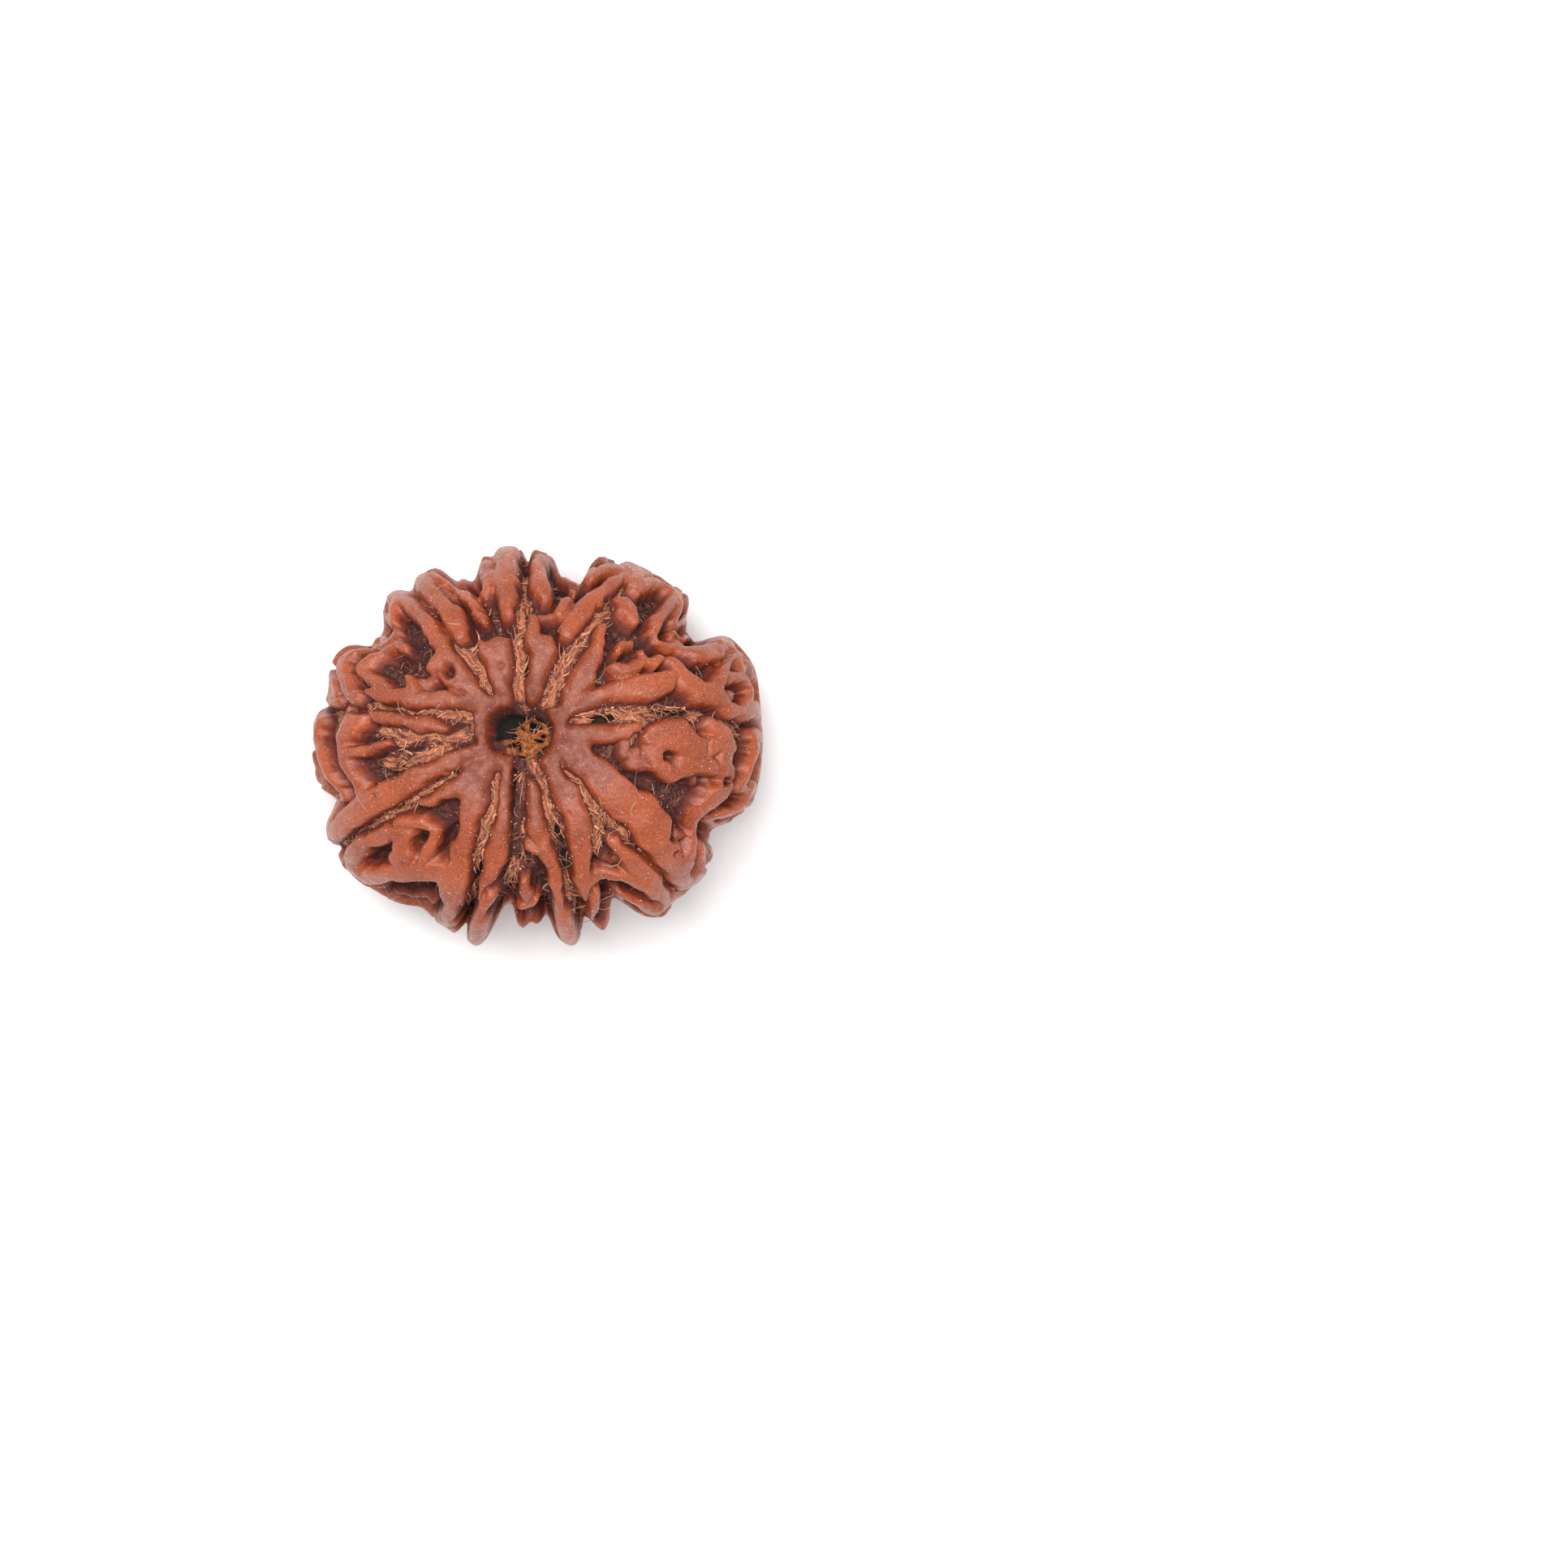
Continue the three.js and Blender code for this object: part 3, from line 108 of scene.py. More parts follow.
# The fibrous plug in the upper pit: its outline, its depth and the holes in it
PLUG = {"x": -0.4, "y": 0.45, "depth": 1.1}
PLUG_EDGE = (0.85, 1.02)
PLUG_EDGE_NOISE = ((0.1, 0.4, 14),)
PLUG_NOISE = ((0.16, 0.5, 12), (0.1, 0.2, 13))
HOLE_DEPTH = 1.5
HOLE_EDGE = (-0.05, 0.08)
HOLE_NOISE = ((0.03, 0.2, 15),)
PLUG_RIM = [[0, 1.6], [30, 1.6], [60, 1.45], [90, 1.35], [120, 1.1], [150, 1.05], [175, 1.5], [190, 2.3],
            [205, 2.3], [225, 1.75], [250, 1.55], [275, 1.65], [315, 1.65]]
PLUG_HOLES = [
    [[-2.6, 1.75, 0.4], [-2.45, 1.05, 0.55], [-1.7, 1.35, 0.42]],
    [[-2.3, 0.5, 0.18], [-1.6, 0.5, 0.2]],
    [[-1.9, -0.2, 0.14], [-1.25, -0.05, 0.18]],
    [[-0.2, 1.5, 0.2], [-0.1, 1.05, 0.26]],
    [[0.18, 1.45, 0.18], [0.45, 1.2, 0.16]],
    [[-0.88, 1.25, 0.11], [-0.85, 1.1, 0.11]],
    [[0.4, 0.62, 0.1], [0.8, 0.5, 0.12]],
    [[0.05, 0.14, 0.09], [0.65, 0.16, 0.12]],
    [[-1.15, -0.42, 0.11], [-1.1, -0.56, 0.11]],
    [[-1, 1.7, 0.16], [-1.3, 1.55, 0.14]],
]

# The pits at the poles. Their rims are given as azimuth from the middle in degrees, then radius
UPPER_PIT = {"x": -0.85, "y": 0.6, "depth": 2.8}
UPPER_RIM = [[-6, 1.96], [18, 2.04], [44, 1.7], [70, 1.5], [102, 1.6], [129, 1.95], [150, 2.1], [177, 2.0],
             [195, 2.02], [211, 1.92], [249, 1.45], [268, 1.65], [299, 1.85], [316, 1.86]]
LOWER_PIT = {"x": -0.4, "y": 0.3, "depth": 1.9}
LOWER_RIM = [[0, 1.15], [90, 0.95], [180, 1.1], [270, 0.95]]
PIT_WALL = (0.93, 1.03)

# Where the outline leaves its ellipse, seen from above: azimuth and half width in degrees, then the rise
OUTLINE_BULGES = [
    [20, 8, 0.45], [33, 2, -0.8], [36.5, 4, -1.7], [41, 2, -0.5], [75, 1.6, -0.8],
    [78, 4.5, -2], [82.5, 2, -0.8], [87, 5, -0.5], [93, 1.4, -0.8], [103.5, 2, -0.4],
    [111.5, 4.5, -1.6], [116.5, 2, -0.8], [129, 2.5, -0.6], [145, 6, -1.5], [149.5, 1.8, -0.5],
    [167, 6, -0.5], [196, 4, -1], [212, 14, 0.75], [235, 4, -0.4], [248.6, 1.2, -0.9],
    [250, 5, 0.4], [253.5, 2.2, 0.35], [258, 1.8, -1.1], [261, 3, -2.2], [268, 3, -1.2],
    [273, 2.5, -1.6], [280, 2.5, 0.3], [285.5, 2.5, -1.3], [296, 4, -1.9], [306, 3.5, 0.4],
    [333, 5.5, -1.5],
]

UPPER_RIDGES = [
    # The collar round the upper pit
    [[-2.2, 2.55, 0.4], [-2.9, 2.2, 0.6], [-3.3, 1.5, 0.5], [-3.3, 0.7, 0.48], [-3.1, 0, 0.5],
      [-2.7, -0.7, 0.5], [-2.1, -1, 0.4]],
    [[1.1, 2, 0.2], [1.55, 1.3, 0.45], [1.65, 0.5, 0.55], [1.6, -0.3, 0.5], [1.2, -0.8, 0.35]],
    # From the left cleft round to the upper left one
    [[-3, 2.3, 0.5], [-3.75, 3.1, 0.46], [-4.45, 4.1, 0.46], [-5.1, 5.1, 0.52], [-5.85, 6.2, 0.58],
      [-6.5, 7.2, 0.58], [-7.2, 8.1, 0.6], [-7.9, 8.8, 0.6]],
    [[-5.3, 5.3, 0.4], [-5.8, 4.95, 0.55], [-6.2, 4.8, 0.42]],
    [[-4.6, 3.6, 0.3], [-5.2, 3.85, 0.3], [-5.6, 4.25, 0.3]],
    [[-8.9, 7.7, 0.45], [-8.6, 8.5, 0.5], [-8.2, 8.9, 0.5]],
    [[-9.4, 6.4, 0.36], [-8.6, 6.8, 0.3]],
    [[-7.9, 5.9, 0.3], [-8.6, 6, 0.4], [-9.4, 5.75, 0.45], [-10, 5.2, 0.5], [-10.4, 4.5, 0.5],
      [-9.8, 3.85, 0.42], [-9, 3.35, 0.42]],
    [[-10, 6, 0.25], [-10.8, 5.8, 0.5], [-11.5, 5.2, 0.75], [-11.6, 4.2, 0.6], [-11.3, 3.2, 0.7],
      [-11, 2.95, 0.6]],
    [[-12.4, 3.8, 0.35], [-12.2, 3.2, 0.32]],
    [[-12.6, 2.6, 0.28], [-12, 2.6, 0.24]],
    [[-3, 2.2, 0.5], [-4.2, 2.6, 0.5], [-5.2, 2.7, 0.55], [-6.5, 2.75, 0.55], [-8, 2.85, 0.5],
      [-9.2, 2.95, 0.4], [-10, 3, 0.22]],
    [[-7.4, 3.1, 0.4], [-7.6, 3.9, 0.25]],
    # From the upper left cleft to the top one
    [[-1.85, 2.6, 0.32], [-1.88, 3.3, 0.4], [-2, 4, 0.5], [-2.2, 4.9, 0.72], [-2.45, 5.7, 0.9]],
    [[-2.9, 5.8, 0.5], [-3.3, 6.15, 0.2]],
    [[-2, 5.6, 0.45], [-1.75, 6.1, 0.22]],
    [[-4.35, 6.6, 0.36], [-4.65, 7.1, 0.58], [-5, 7.7, 0.72], [-5.5, 8.4, 0.52], [-6.1, 9.1, 0.56],
      [-6.9, 9.7, 0.62]],
    [[-7.1, 9.8, 0.42], [-6.3, 10.1, 0.45], [-5.5, 10, 0.4], [-5, 9.7, 0.36], [-4.2, 9.2, 0.42],
      [-3.75, 8.7, 0.35], [-3.5, 8.1, 0.28], [-3.1, 7.55, 0.2]],
    [[-4.2, 9.2, 0.3], [-3.3, 9.45, 0.18]],
    [[-1.7, 8, 0.52], [-1.75, 8.8, 0.58], [-1.85, 9.6, 0.75], [-2, 10.4, 0.92], [-1.85, 11.2, 0.7]],
    [[-3, 9.7, 0.35], [-2.9, 10.4, 0.5]],
    # From the top cleft to the upper right one
    [[-0.08, 2.9, 0.32], [0.18, 3.9, 0.58], [0.4, 4.8, 0.8], [0.5, 5.6, 0.86], [0.6, 6, 0.6]],
    [[0, 6, 0.42], [-0.08, 6.8, 0.36], [-0.05, 7.6, 0.3]],
    [[1.5, 8, 0.32], [1.8, 8.5, 0.46], [1.95, 9, 0.46]],
    [[0.6, 8.95, 0.45], [0.5, 9.4, 0.72], [0.25, 10.2, 0.6], [0.15, 11.1, 0.45]],
    [[2.5, 9.6, 0.16], [2.4, 9.9, 0.14]],
    [[1.95, 6.8, 0.6], [2.45, 7.6, 0.72], [3.1, 8.4, 0.7], [3.9, 9.1, 0.55], [4.6, 9.6, 0.42],
      [5.2, 10, 0.3]],
    [[3.2, 10.2, 0.35], [3.9, 10.5, 0.55], [4.7, 10.6, 0.66], [5.5, 10.5, 0.48]],
    [[6.1, 10.2, 0.35], [5.9, 9.9, 0.3]],
    # From the upper right cleft to the right one
    [[2.1, 2.6, 0.4], [2.55, 3.4, 0.52], [3.15, 4.3, 0.64], [3.5, 5.1, 0.6], [3.8, 5.9, 0.4],
      [4.1, 6.8, 0.25]],
    [[1.7, 1.9, 0.35], [2.5, 2.35, 0.42], [4, 2.95, 0.6], [5.4, 3.25, 0.8], [6.8, 3.4, 0.9],
      [7.8, 3.65, 0.7], [8.2, 3.9, 0.5]],
    [[4.9, 4.5, 0.4], [5.6, 4.5, 0.4], [6.2, 4.75, 0.25], [6.6, 4.95, 0.14]],
    [[8.3, 5.1, 0.3], [8.7, 4.5, 0.6], [9.2, 3.7, 0.72], [9.8, 3.2, 0.78], [10.6, 3, 0.7], [11.4, 2.4, 0.5],
      [12, 1.95, 0.35]],
    [[10.9, 3.5, 0.4], [11.1, 4.2, 0.36], [11.35, 4.9, 0.22]],
    [[5.05, 5.5, 0.28], [5.4, 5.8, 0.4], [5.75, 5.95, 0.28]],
    [[6.6, 5.45, 0.2], [6.75, 5, 0.26], [7.3, 4.9, 0.26], [7.75, 5.1, 0.2]],
    [[5.45, 8.6, 0.55], [5.6, 8.15, 0.74], [5.8, 7.7, 0.56], [6, 7.35, 0.28]],
    [[6.1, 9.4, 0.35], [6.8, 9.7, 0.42], [7.6, 9.65, 0.52], [8.35, 9.1, 0.52], [8.75, 8.3, 0.42],
      [8.7, 7.5, 0.32]],
    [[8.15, 8.5, 0.3], [7.8, 8, 0.45], [7.4, 7.4, 0.45], [7.15, 6.8, 0.36], [7.3, 6.4, 0.22]],
    [[7.5, 6.2, 0.2], [8.3, 6.15, 0.35], [9.1, 6.05, 0.58], [9.8, 5.7, 0.8], [10.3, 5.4, 0.68]],
    [[10.9, 6.2, 0.4], [11.5, 5.7, 0.48], [11.9, 5, 0.4], [12, 4.4, 0.34]],
    [[12.45, 5.4, 0.4], [12.7, 4.6, 0.42]],
    [[11.5, 3.8, 0.3], [12.1, 3.9, 0.4], [12.6, 3.4, 0.4], [12.75, 2.6, 0.45], [12.5, 1.8, 0.48]],
    [[8.7, 6.8, 0.22], [9.5, 6.8, 0.18]],
    # From the right cleft to the lower right one
    [[1.7, 0.5, 0.6], [2.8, 0.55, 0.6], [4, 0.6, 0.6], [5.2, 0.75, 0.45], [6, 1, 0.25]],
    [[1.5, -0.4, 0.55], [2.5, -0.9, 0.7], [3.5, -1.6, 0.85], [4.6, -2.6, 1.05], [5.7, -3.6, 1.2],
      [6.8, -4.7, 1.2], [7.7, -6, 1.05], [8.3, -7.2, 0.8], [8.8, -8.2, 0.55]],
    [[2.2, 0.1, 0.6], [3.1, -0.5, 0.5]],
    [[6.9, 0.3, 0.5], [8.1, 0.7, 0.75], [9, 0.7, 0.7], [9.5, 0.2, 0.5]],
    [[7.1, -0.7, 0.6], [8.3, -0.3, 0.85], [9.4, -0.4, 0.75], [10.6, -0.2, 0.7]],
    [[7.5, -1.4, 0.65], [8.4, -1.7, 0.78], [9.3, -1.5, 0.75], [10.6, -1.4, 0.6]],
    [[10.6, 1.2, 0.45], [11.3, 0.7, 0.7], [11.5, -0.2, 0.8], [11.4, -1.1, 0.72], [11.3, -1.7, 0.6]],
    [[11.6, -1.8, 0.5], [11.4, -2.7, 0.72], [10.9, -3.3, 0.85], [10.3, -3.8, 0.8], [10, -4.5, 0.55],
      [9.9, -5.2, 0.4], [9.8, -6, 0.45], [9.3, -6.9, 0.6], [8.9, -7.7, 0.65], [8.8, -8.3, 0.55]],
    [[13.1, 0.4, 0.45], [13.2, -0.4, 0.45], [12.9, -1.2, 0.42], [12.6, -2, 0.38], [12.3, -2.8, 0.32]],
    [[12.8, -2.9, 0.35], [12.5, -3.7, 0.4], [11.6, -4.4, 0.4], [10.8, -4.8, 0.35]],
    [[10.2, -6.4, 0.35], [10.1, -7.2, 0.42], [9.7, -8, 0.4]],
    # From the lower right cleft to the lower one
    [[0.95, -1.1, 0.35], [1.3, -1.9, 0.45], [1.8, -2.9, 0.6], [2.3, -3.9, 0.78], [2.65, -4.6, 0.82],
      [2.6, -5.5, 0.7], [2.75, -6.5, 0.62], [2.85, -7.6, 0.58], [2.95, -8.7, 0.5], [3.05, -9.6, 0.25]],
    [[3.2, -8.4, 0.42], [4.3, -8.2, 0.5], [5.3, -8.1, 0.42], [6.4, -8.5, 0.6], [7, -8.9, 0.5]],
    [[4.8, -6.1, 0.38], [5.6, -6.8, 0.55], [6.4, -7.6, 0.66], [7.1, -8.4, 0.6], [7.5, -9, 0.45]],
    [[5.2, -9.5, 0.3], [6.2, -9.8, 0.45], [7.1, -9.9, 0.5], [7.8, -9.4, 0.4]],
    [[3.9, -9.3, 0.4], [3.7, -10.1, 0.45], [3.4, -10.8, 0.35]],
    # From the lower cleft to the bottom one
    [[-0.15, -2.3, 0.2], [-0.05, -3.1, 0.34], [0, -3.9, 0.42], [0.15, -4.8, 0.52], [0.4, -5.7, 0.58],
      [0.65, -6.6, 0.56], [0.95, -7.5, 0.48], [1.2, -8.4, 0.4], [1.4, -9.2, 0.3]],
    [[-0.3, -6.2, 0.32], [0.3, -6.5, 0.4]],
    [[1.4, -9.6, 0.42], [1.65, -10.4, 0.58], [1.9, -11.3, 0.68]],
    [[-0.6, -8.5, 0.22], [-0.5, -9.1, 0.35], [-0.6, -9.7, 0.22]],
    [[-0.7, -10.2, 0.35], [-0.2, -10, 0.3], [0.1, -9.7, 0.2]],
    # From the bottom cleft to the lower left one
    [[-1.75, -1.2, 0.35], [-1.72, -2.3, 0.32], [-1.68, -3.5, 0.35], [-1.75, -4.6, 0.42],
      [-1.95, -5.7, 0.56], [-2.25, -6.8, 0.65], [-2.6, -7.8, 0.52], [-3, -8.5, 0.38], [-3.4, -9.2, 0.2]],
    [[-2.5, -9.2, 0.3], [-3, -9.6, 0.4], [-3.4, -10.3, 0.42], [-3.6, -11.3, 0.5]],
    [[-2.9, -10.6, 0.36], [-3.3, -11.4, 0.36]],
    # From the lower left cleft to the left one
    [[-2.5, -1.1, 0.4], [-3.3, -1.8, 0.68], [-3.8, -2.5, 0.85], [-3.75, -3.5, 0.82], [-3.95, -4.6, 0.6],
      [-4.1, -5.6, 0.58], [-4.35, -6.4, 0.68], [-4.9, -7, 0.58]],
    [[-4.3, -2.6, 0.6], [-5.2, -3.1, 0.48], [-6, -3.45, 0.34], [-6.6, -3.6, 0.16]],
    [[-4.6, -7.3, 0.8], [-5, -8.2, 1.05], [-5, -9, 0.9], [-5, -9.9, 0.55]],
    [[-5.3, -7.8, 0.9], [-6.4, -7.8, 0.8], [-7.6, -7.75, 0.65], [-8.8, -7.75, 0.68], [-9.8, -7.8, 0.78],
      [-10.4, -7.4, 0.74], [-10.6, -6.8, 0.7], [-10.2, -6.15, 0.56], [-9.5, -5.75, 0.48],
      [-8.7, -5.4, 0.42], [-8, -5.2, 0.34]],
    [[-7.9, -5.5, 0.4], [-8.1, -6.3, 0.55], [-8.3, -7, 0.6]],
    [[-8.1, -4.75, 0.28], [-7.4, -4.7, 0.38], [-6.7, -4.7, 0.4], [-6.1, -5.2, 0.42], [-6.1, -6, 0.42],
      [-6.5, -6.7, 0.4], [-6.75, -7.3, 0.32]],
    [[-7.45, -5.3, 0.26], [-7.55, -6.2, 0.28], [-7.5, -7, 0.34]],
    [[-11.5, -7.4, 0.35], [-11.2, -8.2, 0.38], [-10.3, -8.6, 0.34], [-9.3, -9, 0.3], [-8.7, -9.3, 0.2]],
    [[-5.1, -10.2, 0.36], [-5.2, -11, 0.52]],
    # From the lower left cleft round to the left one
    [[-2.9, -0.4, 0.5], [-4.2, -0.8, 0.48], [-5.4, -1.35, 0.5], [-6.8, -2, 0.56], [-8.2, -2.75, 0.75],
      [-9.6, -3.4, 0.92], [-10.8, -4.2, 0.95], [-11.7, -5.1, 0.72]],
    [[-12.2, -4.2, 0.4], [-12.5, -5.2, 0.4], [-12.3, -5.8, 0.35]],
    [[-10.6, 1.3, 0.55], [-11.2, 1.1, 0.88], [-11.6, 0.3, 0.7], [-11.5, -0.5, 0.56], [-11.3, -1.3, 0.45],
      [-10.8, -2.2, 0.46], [-10.7, -3, 0.6]],
    [[-11, -0.5, 0.45], [-10.2, -0.4, 0.34], [-9.4, -0.1, 0.26], [-8.8, 0.05, 0.14]],
    [[-13.1, 1.2, 0.5], [-13.2, 0.4, 0.45], [-13, -0.4, 0.45], [-12.7, -1.3, 0.42], [-12.3, -2.1, 0.45],
      [-12, -2.9, 0.42], [-11.9, -3.3, 0.34]],
    [[-9.8, 1.65, 0.25], [-8.9, 1.55, 0.42], [-7.9, 1.4, 0.48], [-6.8, 1.2, 0.45], [-5.9, 1, 0.32],
      [-5.5, 0.9, 0.2]],
]

# Lower, smooth saddles between ridges
UPPER_SADDLES = [
    [[-0.05, 7.6, 0.3], [0.4, 7.95, 0.28], [1, 7.95, 0.28], [1.6, 8, 0.3]],
    [[6.2, -0.6, 0.4], [6.7, -0.9, 0.5]],
    [[5.4, 0.2, 0.4], [5.4, -0.5, 0.4], [6.1, -1.2, 0.5], [7, -1.2, 0.5]],
    [[-6, 9.7, 0.4], [-5.3, 9.3, 0.4]],
    [[10, -2.4, 0.4], [10.6, -2.5, 0.5]],
    [[4.4, -7.2, 0.4], [5.2, -7.4, 0.4]],
    [[7.9, -5.3, 0.4], [9.2, -5.9, 0.4]],
    [[-6.9, 3.7, 0.4], [-6.2, 4.2, 0.4]],
    [[-8.7, -9.3, 0.3], [-7.6, -9.7, 0.3], [-6.5, -10, 0.3]],
    [[11.2, 3.2, 0.4], [11.8, 2.8, 0.4]],
]

# Small pits in the ridges, each with its depth
UPPER_PITS = [
    (0.8, [[8.1, -0.85, 0.32], [8.5, -1, 0.28]]),
    (0.4, [[10.35, 0.9, 0.12], [10.3, 0, 0.1], [10.2, -0.8, 0.06]]),
    (0.9, [[10.2, -2.4, 0.3], [10.5, -2.3, 0.24]]),
    (0.8, [[11.4, -2.4, 0.22], [11.6, -2.5, 0.16]]),
    (0.5, [[-9.6, -2.75, 0.06], [-9.7, -3.1, 0.06]]),
    (0.8, [[8.3, -6.55, 0.14], [8.35, -6.75, 0.08]]),
    (0.25, [[-2.1, 4.75, 0.14], [-2.15, 4.6, 0.1]]),
    (0.7, [[-5.2, 4.5, 0.26], [-5, 4.25, 0.22]]),
    (1.5, [[8.9, -4.6, 0.3], [8.75, -5.2, 0.42], [8.5, -5.7, 0.3]]),
    (0.5, [[4.2, -0.55, 0.3], [4.6, -0.75, 0.3]]),
    (0.15, [[2.75, -0.12, 0.1], [2.85, -0.18, 0.08]]),
    (0.2, [[2.15, -4.2, 0.08], [2.15, -4.5, 0.08]]),
    (1, [[-12.1, -0.7, 0.06], [-11.75, -1.5, 0.1], [-11.4, -2.1, 0.06]]),
    (1, [[12.35, -0.6, 0.06], [12.15, -1.6, 0.12], [12.05, -2.3, 0.06]]),
    (1.5, [[-5.25, -5.7, 0.24], [-5.45, -6.7, 0.28]]),
    (1.2, [[-7.05, -5.3, 0.14], [-6.95, -6.3, 0.18]]),
    (0.3, [[5, -7.2, 0.3], [5.3, -7.6, 0.24]]),
]

UPPER_CLEFTS = [
    [[-2.45, 3.1, 0.45], [-3, 3.8, 0.55], [-3.8, 4.9, 0.55], [-4.5, 5.9, 0.5], [-5.2, 6.9, 0.36],
      [-5.9, 7.8, 0.38], [-6.6, 8.6, 0.38], [-7.2, 9.4, 0.34]],
    [[-0.85, 2.1, 0.45], [-0.95, 4, 0.42], [-0.95, 6.4, 0.42], [-0.75, 8, 0.36], [-0.75, 10, 0.36],
      [-0.7, 11.2, 0.3]],
    [[0.8, 2.6, 0.36], [1.5, 3.7, 0.4], [2.1, 5.2, 0.4], [2.9, 6.6, 0.36], [3.8, 7.7, 0.34],
      [4.8, 8.9, 0.36], [5.7, 10, 0.36]],
    [[1.15, 1.6, 0.12], [1.95, 2.7, 0.14]],
    [[2.4, 1.4, 0.3], [3.2, 1.5, 0.4], [4.2, 1.6, 0.45], [5.6, 1.75, 0.42], [7, 1.9, 0.4], [8.6, 1.95, 0.3],
      [10, 1.8, 0.3], [11.4, 1.3, 0.3], [12.6, 0.9, 0.3]],
    [[6.7, 1.3, 0.36], [6.4, 0.6, 0.36], [6.2, 0, 0.3]],
    [[1.45, -0.95, 0.25], [2, -1.6, 0.36], [2.8, -2.7, 0.4], [3.9, -4, 0.4], [5.3, -5.3, 0.4],
      [6.6, -6.9, 0.4], [8.1, -8.7, 0.36]],
    [[3.9, -4.9, 0.45], [3.8, -6, 0.45], [3.9, -6.9, 0.34]],
    [[-0.1, -1.3, 0.36], [0.3, -2.4, 0.34], [0.7, -3.5, 0.34], [1.05, -4.6, 0.34], [1.4, -5.7, 0.3],
      [1.7, -6.8, 0.28], [2, -8.1, 0.3], [2.3, -9.6, 0.3], [2.6, -10.9, 0.26]],
    [[-1, -1.1, 0.4], [-1, -3, 0.4], [-1, -5, 0.42], [-1.1, -7, 0.38], [-1.4, -8.9, 0.36]],
    [[-2.3, -2.3, 0.34], [-2.35, -3.5, 0.4], [-2.7, -4.7, 0.4], [-3.1, -5.8, 0.36], [-3.5, -7.2, 0.34],
      [-3.95, -8.8, 0.32], [-4.2, -9.9, 0.3]],
    [[-3.4, -1, 0.3], [-5, -1.85, 0.42], [-7, -3, 0.42], [-9, -4.35, 0.42], [-10.8, -5.5, 0.42],
      [-11.7, -6.1, 0.34]],
    [[-4.1, 0.6, 0.3], [-5.6, 0.35, 0.4], [-7, 0.3, 0.4], [-8.4, 0.35, 0.4], [-9.6, 0.8, 0.32]],
    [[-5.4, -0.3, 0.3], [-6.8, -0.9, 0.4], [-8.2, -1.2, 0.42], [-9.2, -1.2, 0.36]],
    [[-3.8, 1.6, 0.35], [-4.6, 1.75, 0.42], [-5.6, 1.85, 0.36], [-7, 2.05, 0.24], [-9.4, 2.2, 0.28],
      [-11.4, 2.1, 0.26], [-12.8, 2, 0.26]],
]

# The open slits in the middle of some clefts
UPPER_SLITS = [
    [[-6.3, 8, 0.18], [-5.6, 7.1, 0.18]],
    [[-0.45, 8.6, 0.07], [-0.45, 6.4, 0.07], [-0.5, 4.4, 0.06]],
    [[2.1, 5.6, 0.08], [2.3, 5.2, 0.08]],
    [[3.9, 1.5, 0.18], [4.6, 1.6, 0.24], [5.2, 1.7, 0.12]],
    [[7.6, 1.95, 0.12], [8.8, 1.98, 0.16], [9.9, 1.95, 0.1]],
    [[5.3, -5.2, 0.1], [5.5, -5.4, 0.1]],
    [[6.5, -6.9, 0.16], [7.1, -7.25, 0.18], [7.4, -7.8, 0.12]],
    [[1.3, -5.2, 0.12], [1.6, -6.2, 0.17], [1.85, -7.1, 0.17], [2.1, -7.9, 0.16], [2, -8.5, 0.1]],
    [[-1.36, -1.9, 0.06], [-1.37, -3.4, 0.09], [-1.4, -5, 0.07], [-1.5, -6, 0.05]],
    [[-3.1, -7.2, 0.08], [-3.6, -8.2, 0.1], [-3.8, -8.9, 0.1]],
    [[-4.6, -9.3, 0.09], [-4.6, -10, 0.09]],
    [[-5.4, -1.7, 0.07], [-4.9, -1.9, 0.07]],
    [[-6.5, -2.5, 0.08], [-5.6, -2.05, 0.08]],
    [[-8.9, -4.2, 0.07], [-8.3, -3.95, 0.07]],
    [[-11.5, 2.1, 0.1], [-10.9, 1.95, 0.12], [-10.2, 1.9, 0.1], [-9.5, 2.05, 0.08]],
    [[-8.9, -1.4, 0.16], [-8.4, -1.3, 0.12]],
]

# Where the floor between the ridges is stained dark
DARK_STAINS = [
    [[-1.1, -1.4, 0.5], [-1.05, -3, 0.5], [-1.05, -5, 0.5], [-1.2, -7.4, 0.4]],
    [[-3.6, 6.9, 0.5], [-2.6, 6.8, 0.6], [-1.4, 7.1, 0.5]],
    [[-8, 6.9, 0.5], [-7.4, 5.9, 0.7], [-6.8, 5, 0.4]],
    [[6.6, -2.3, 0.7], [7.4, -2.7, 0.4]],
    [[8.5, -5.4, 0.7], [9.2, -4.7, 0.4]],
    [[-5.3, -4, 0.3], [-5, -5, 0.5], [-5.7, -6.5, 0.3]],
    [[0.8, 7, 0.5], [1.4, 6.8, 0.3]],
    [[4.6, 6.9, 0.4], [5.4, 6.4, 0.4]],
    [[7.4, 6, 0.3], [6.6, 6.4, 0.3]],
    [[-8, -0.6, 0.5], [-6.8, 0.1, 0.3]],
    [[-5.2, 0.9, 0.3], [-4.4, 1, 0.3]],
    [[-12.1, -0.7, 0.2], [-11.4, -2.1, 0.2]],
    [[12.3, -0.6, 0.2], [12, -2.4, 0.2]],
    [[-1.2, 9.5, 0.2], [-1.2, 8, 0.2]],
    [[0.4, -8, 0.5], [0.2, -9.2, 0.4]],
    [[-7.6, -8.9, 0.6], [-6.6, -9.2, 0.4]],
    [[4.3, -6.6, 0.5], [5.2, -7.4, 0.4]],
    [[-2.7, 0.5, 0.3], [-2.4, -0.3, 0.5]],
    [[-1.2, 2.6, 0.4], [-0.5, 2.9, 0.3], [0.3, 2.3, 0.3]],
    [[-0.6, -1.6, 0.3], [-0.2, -1.9, 0.3]],
]

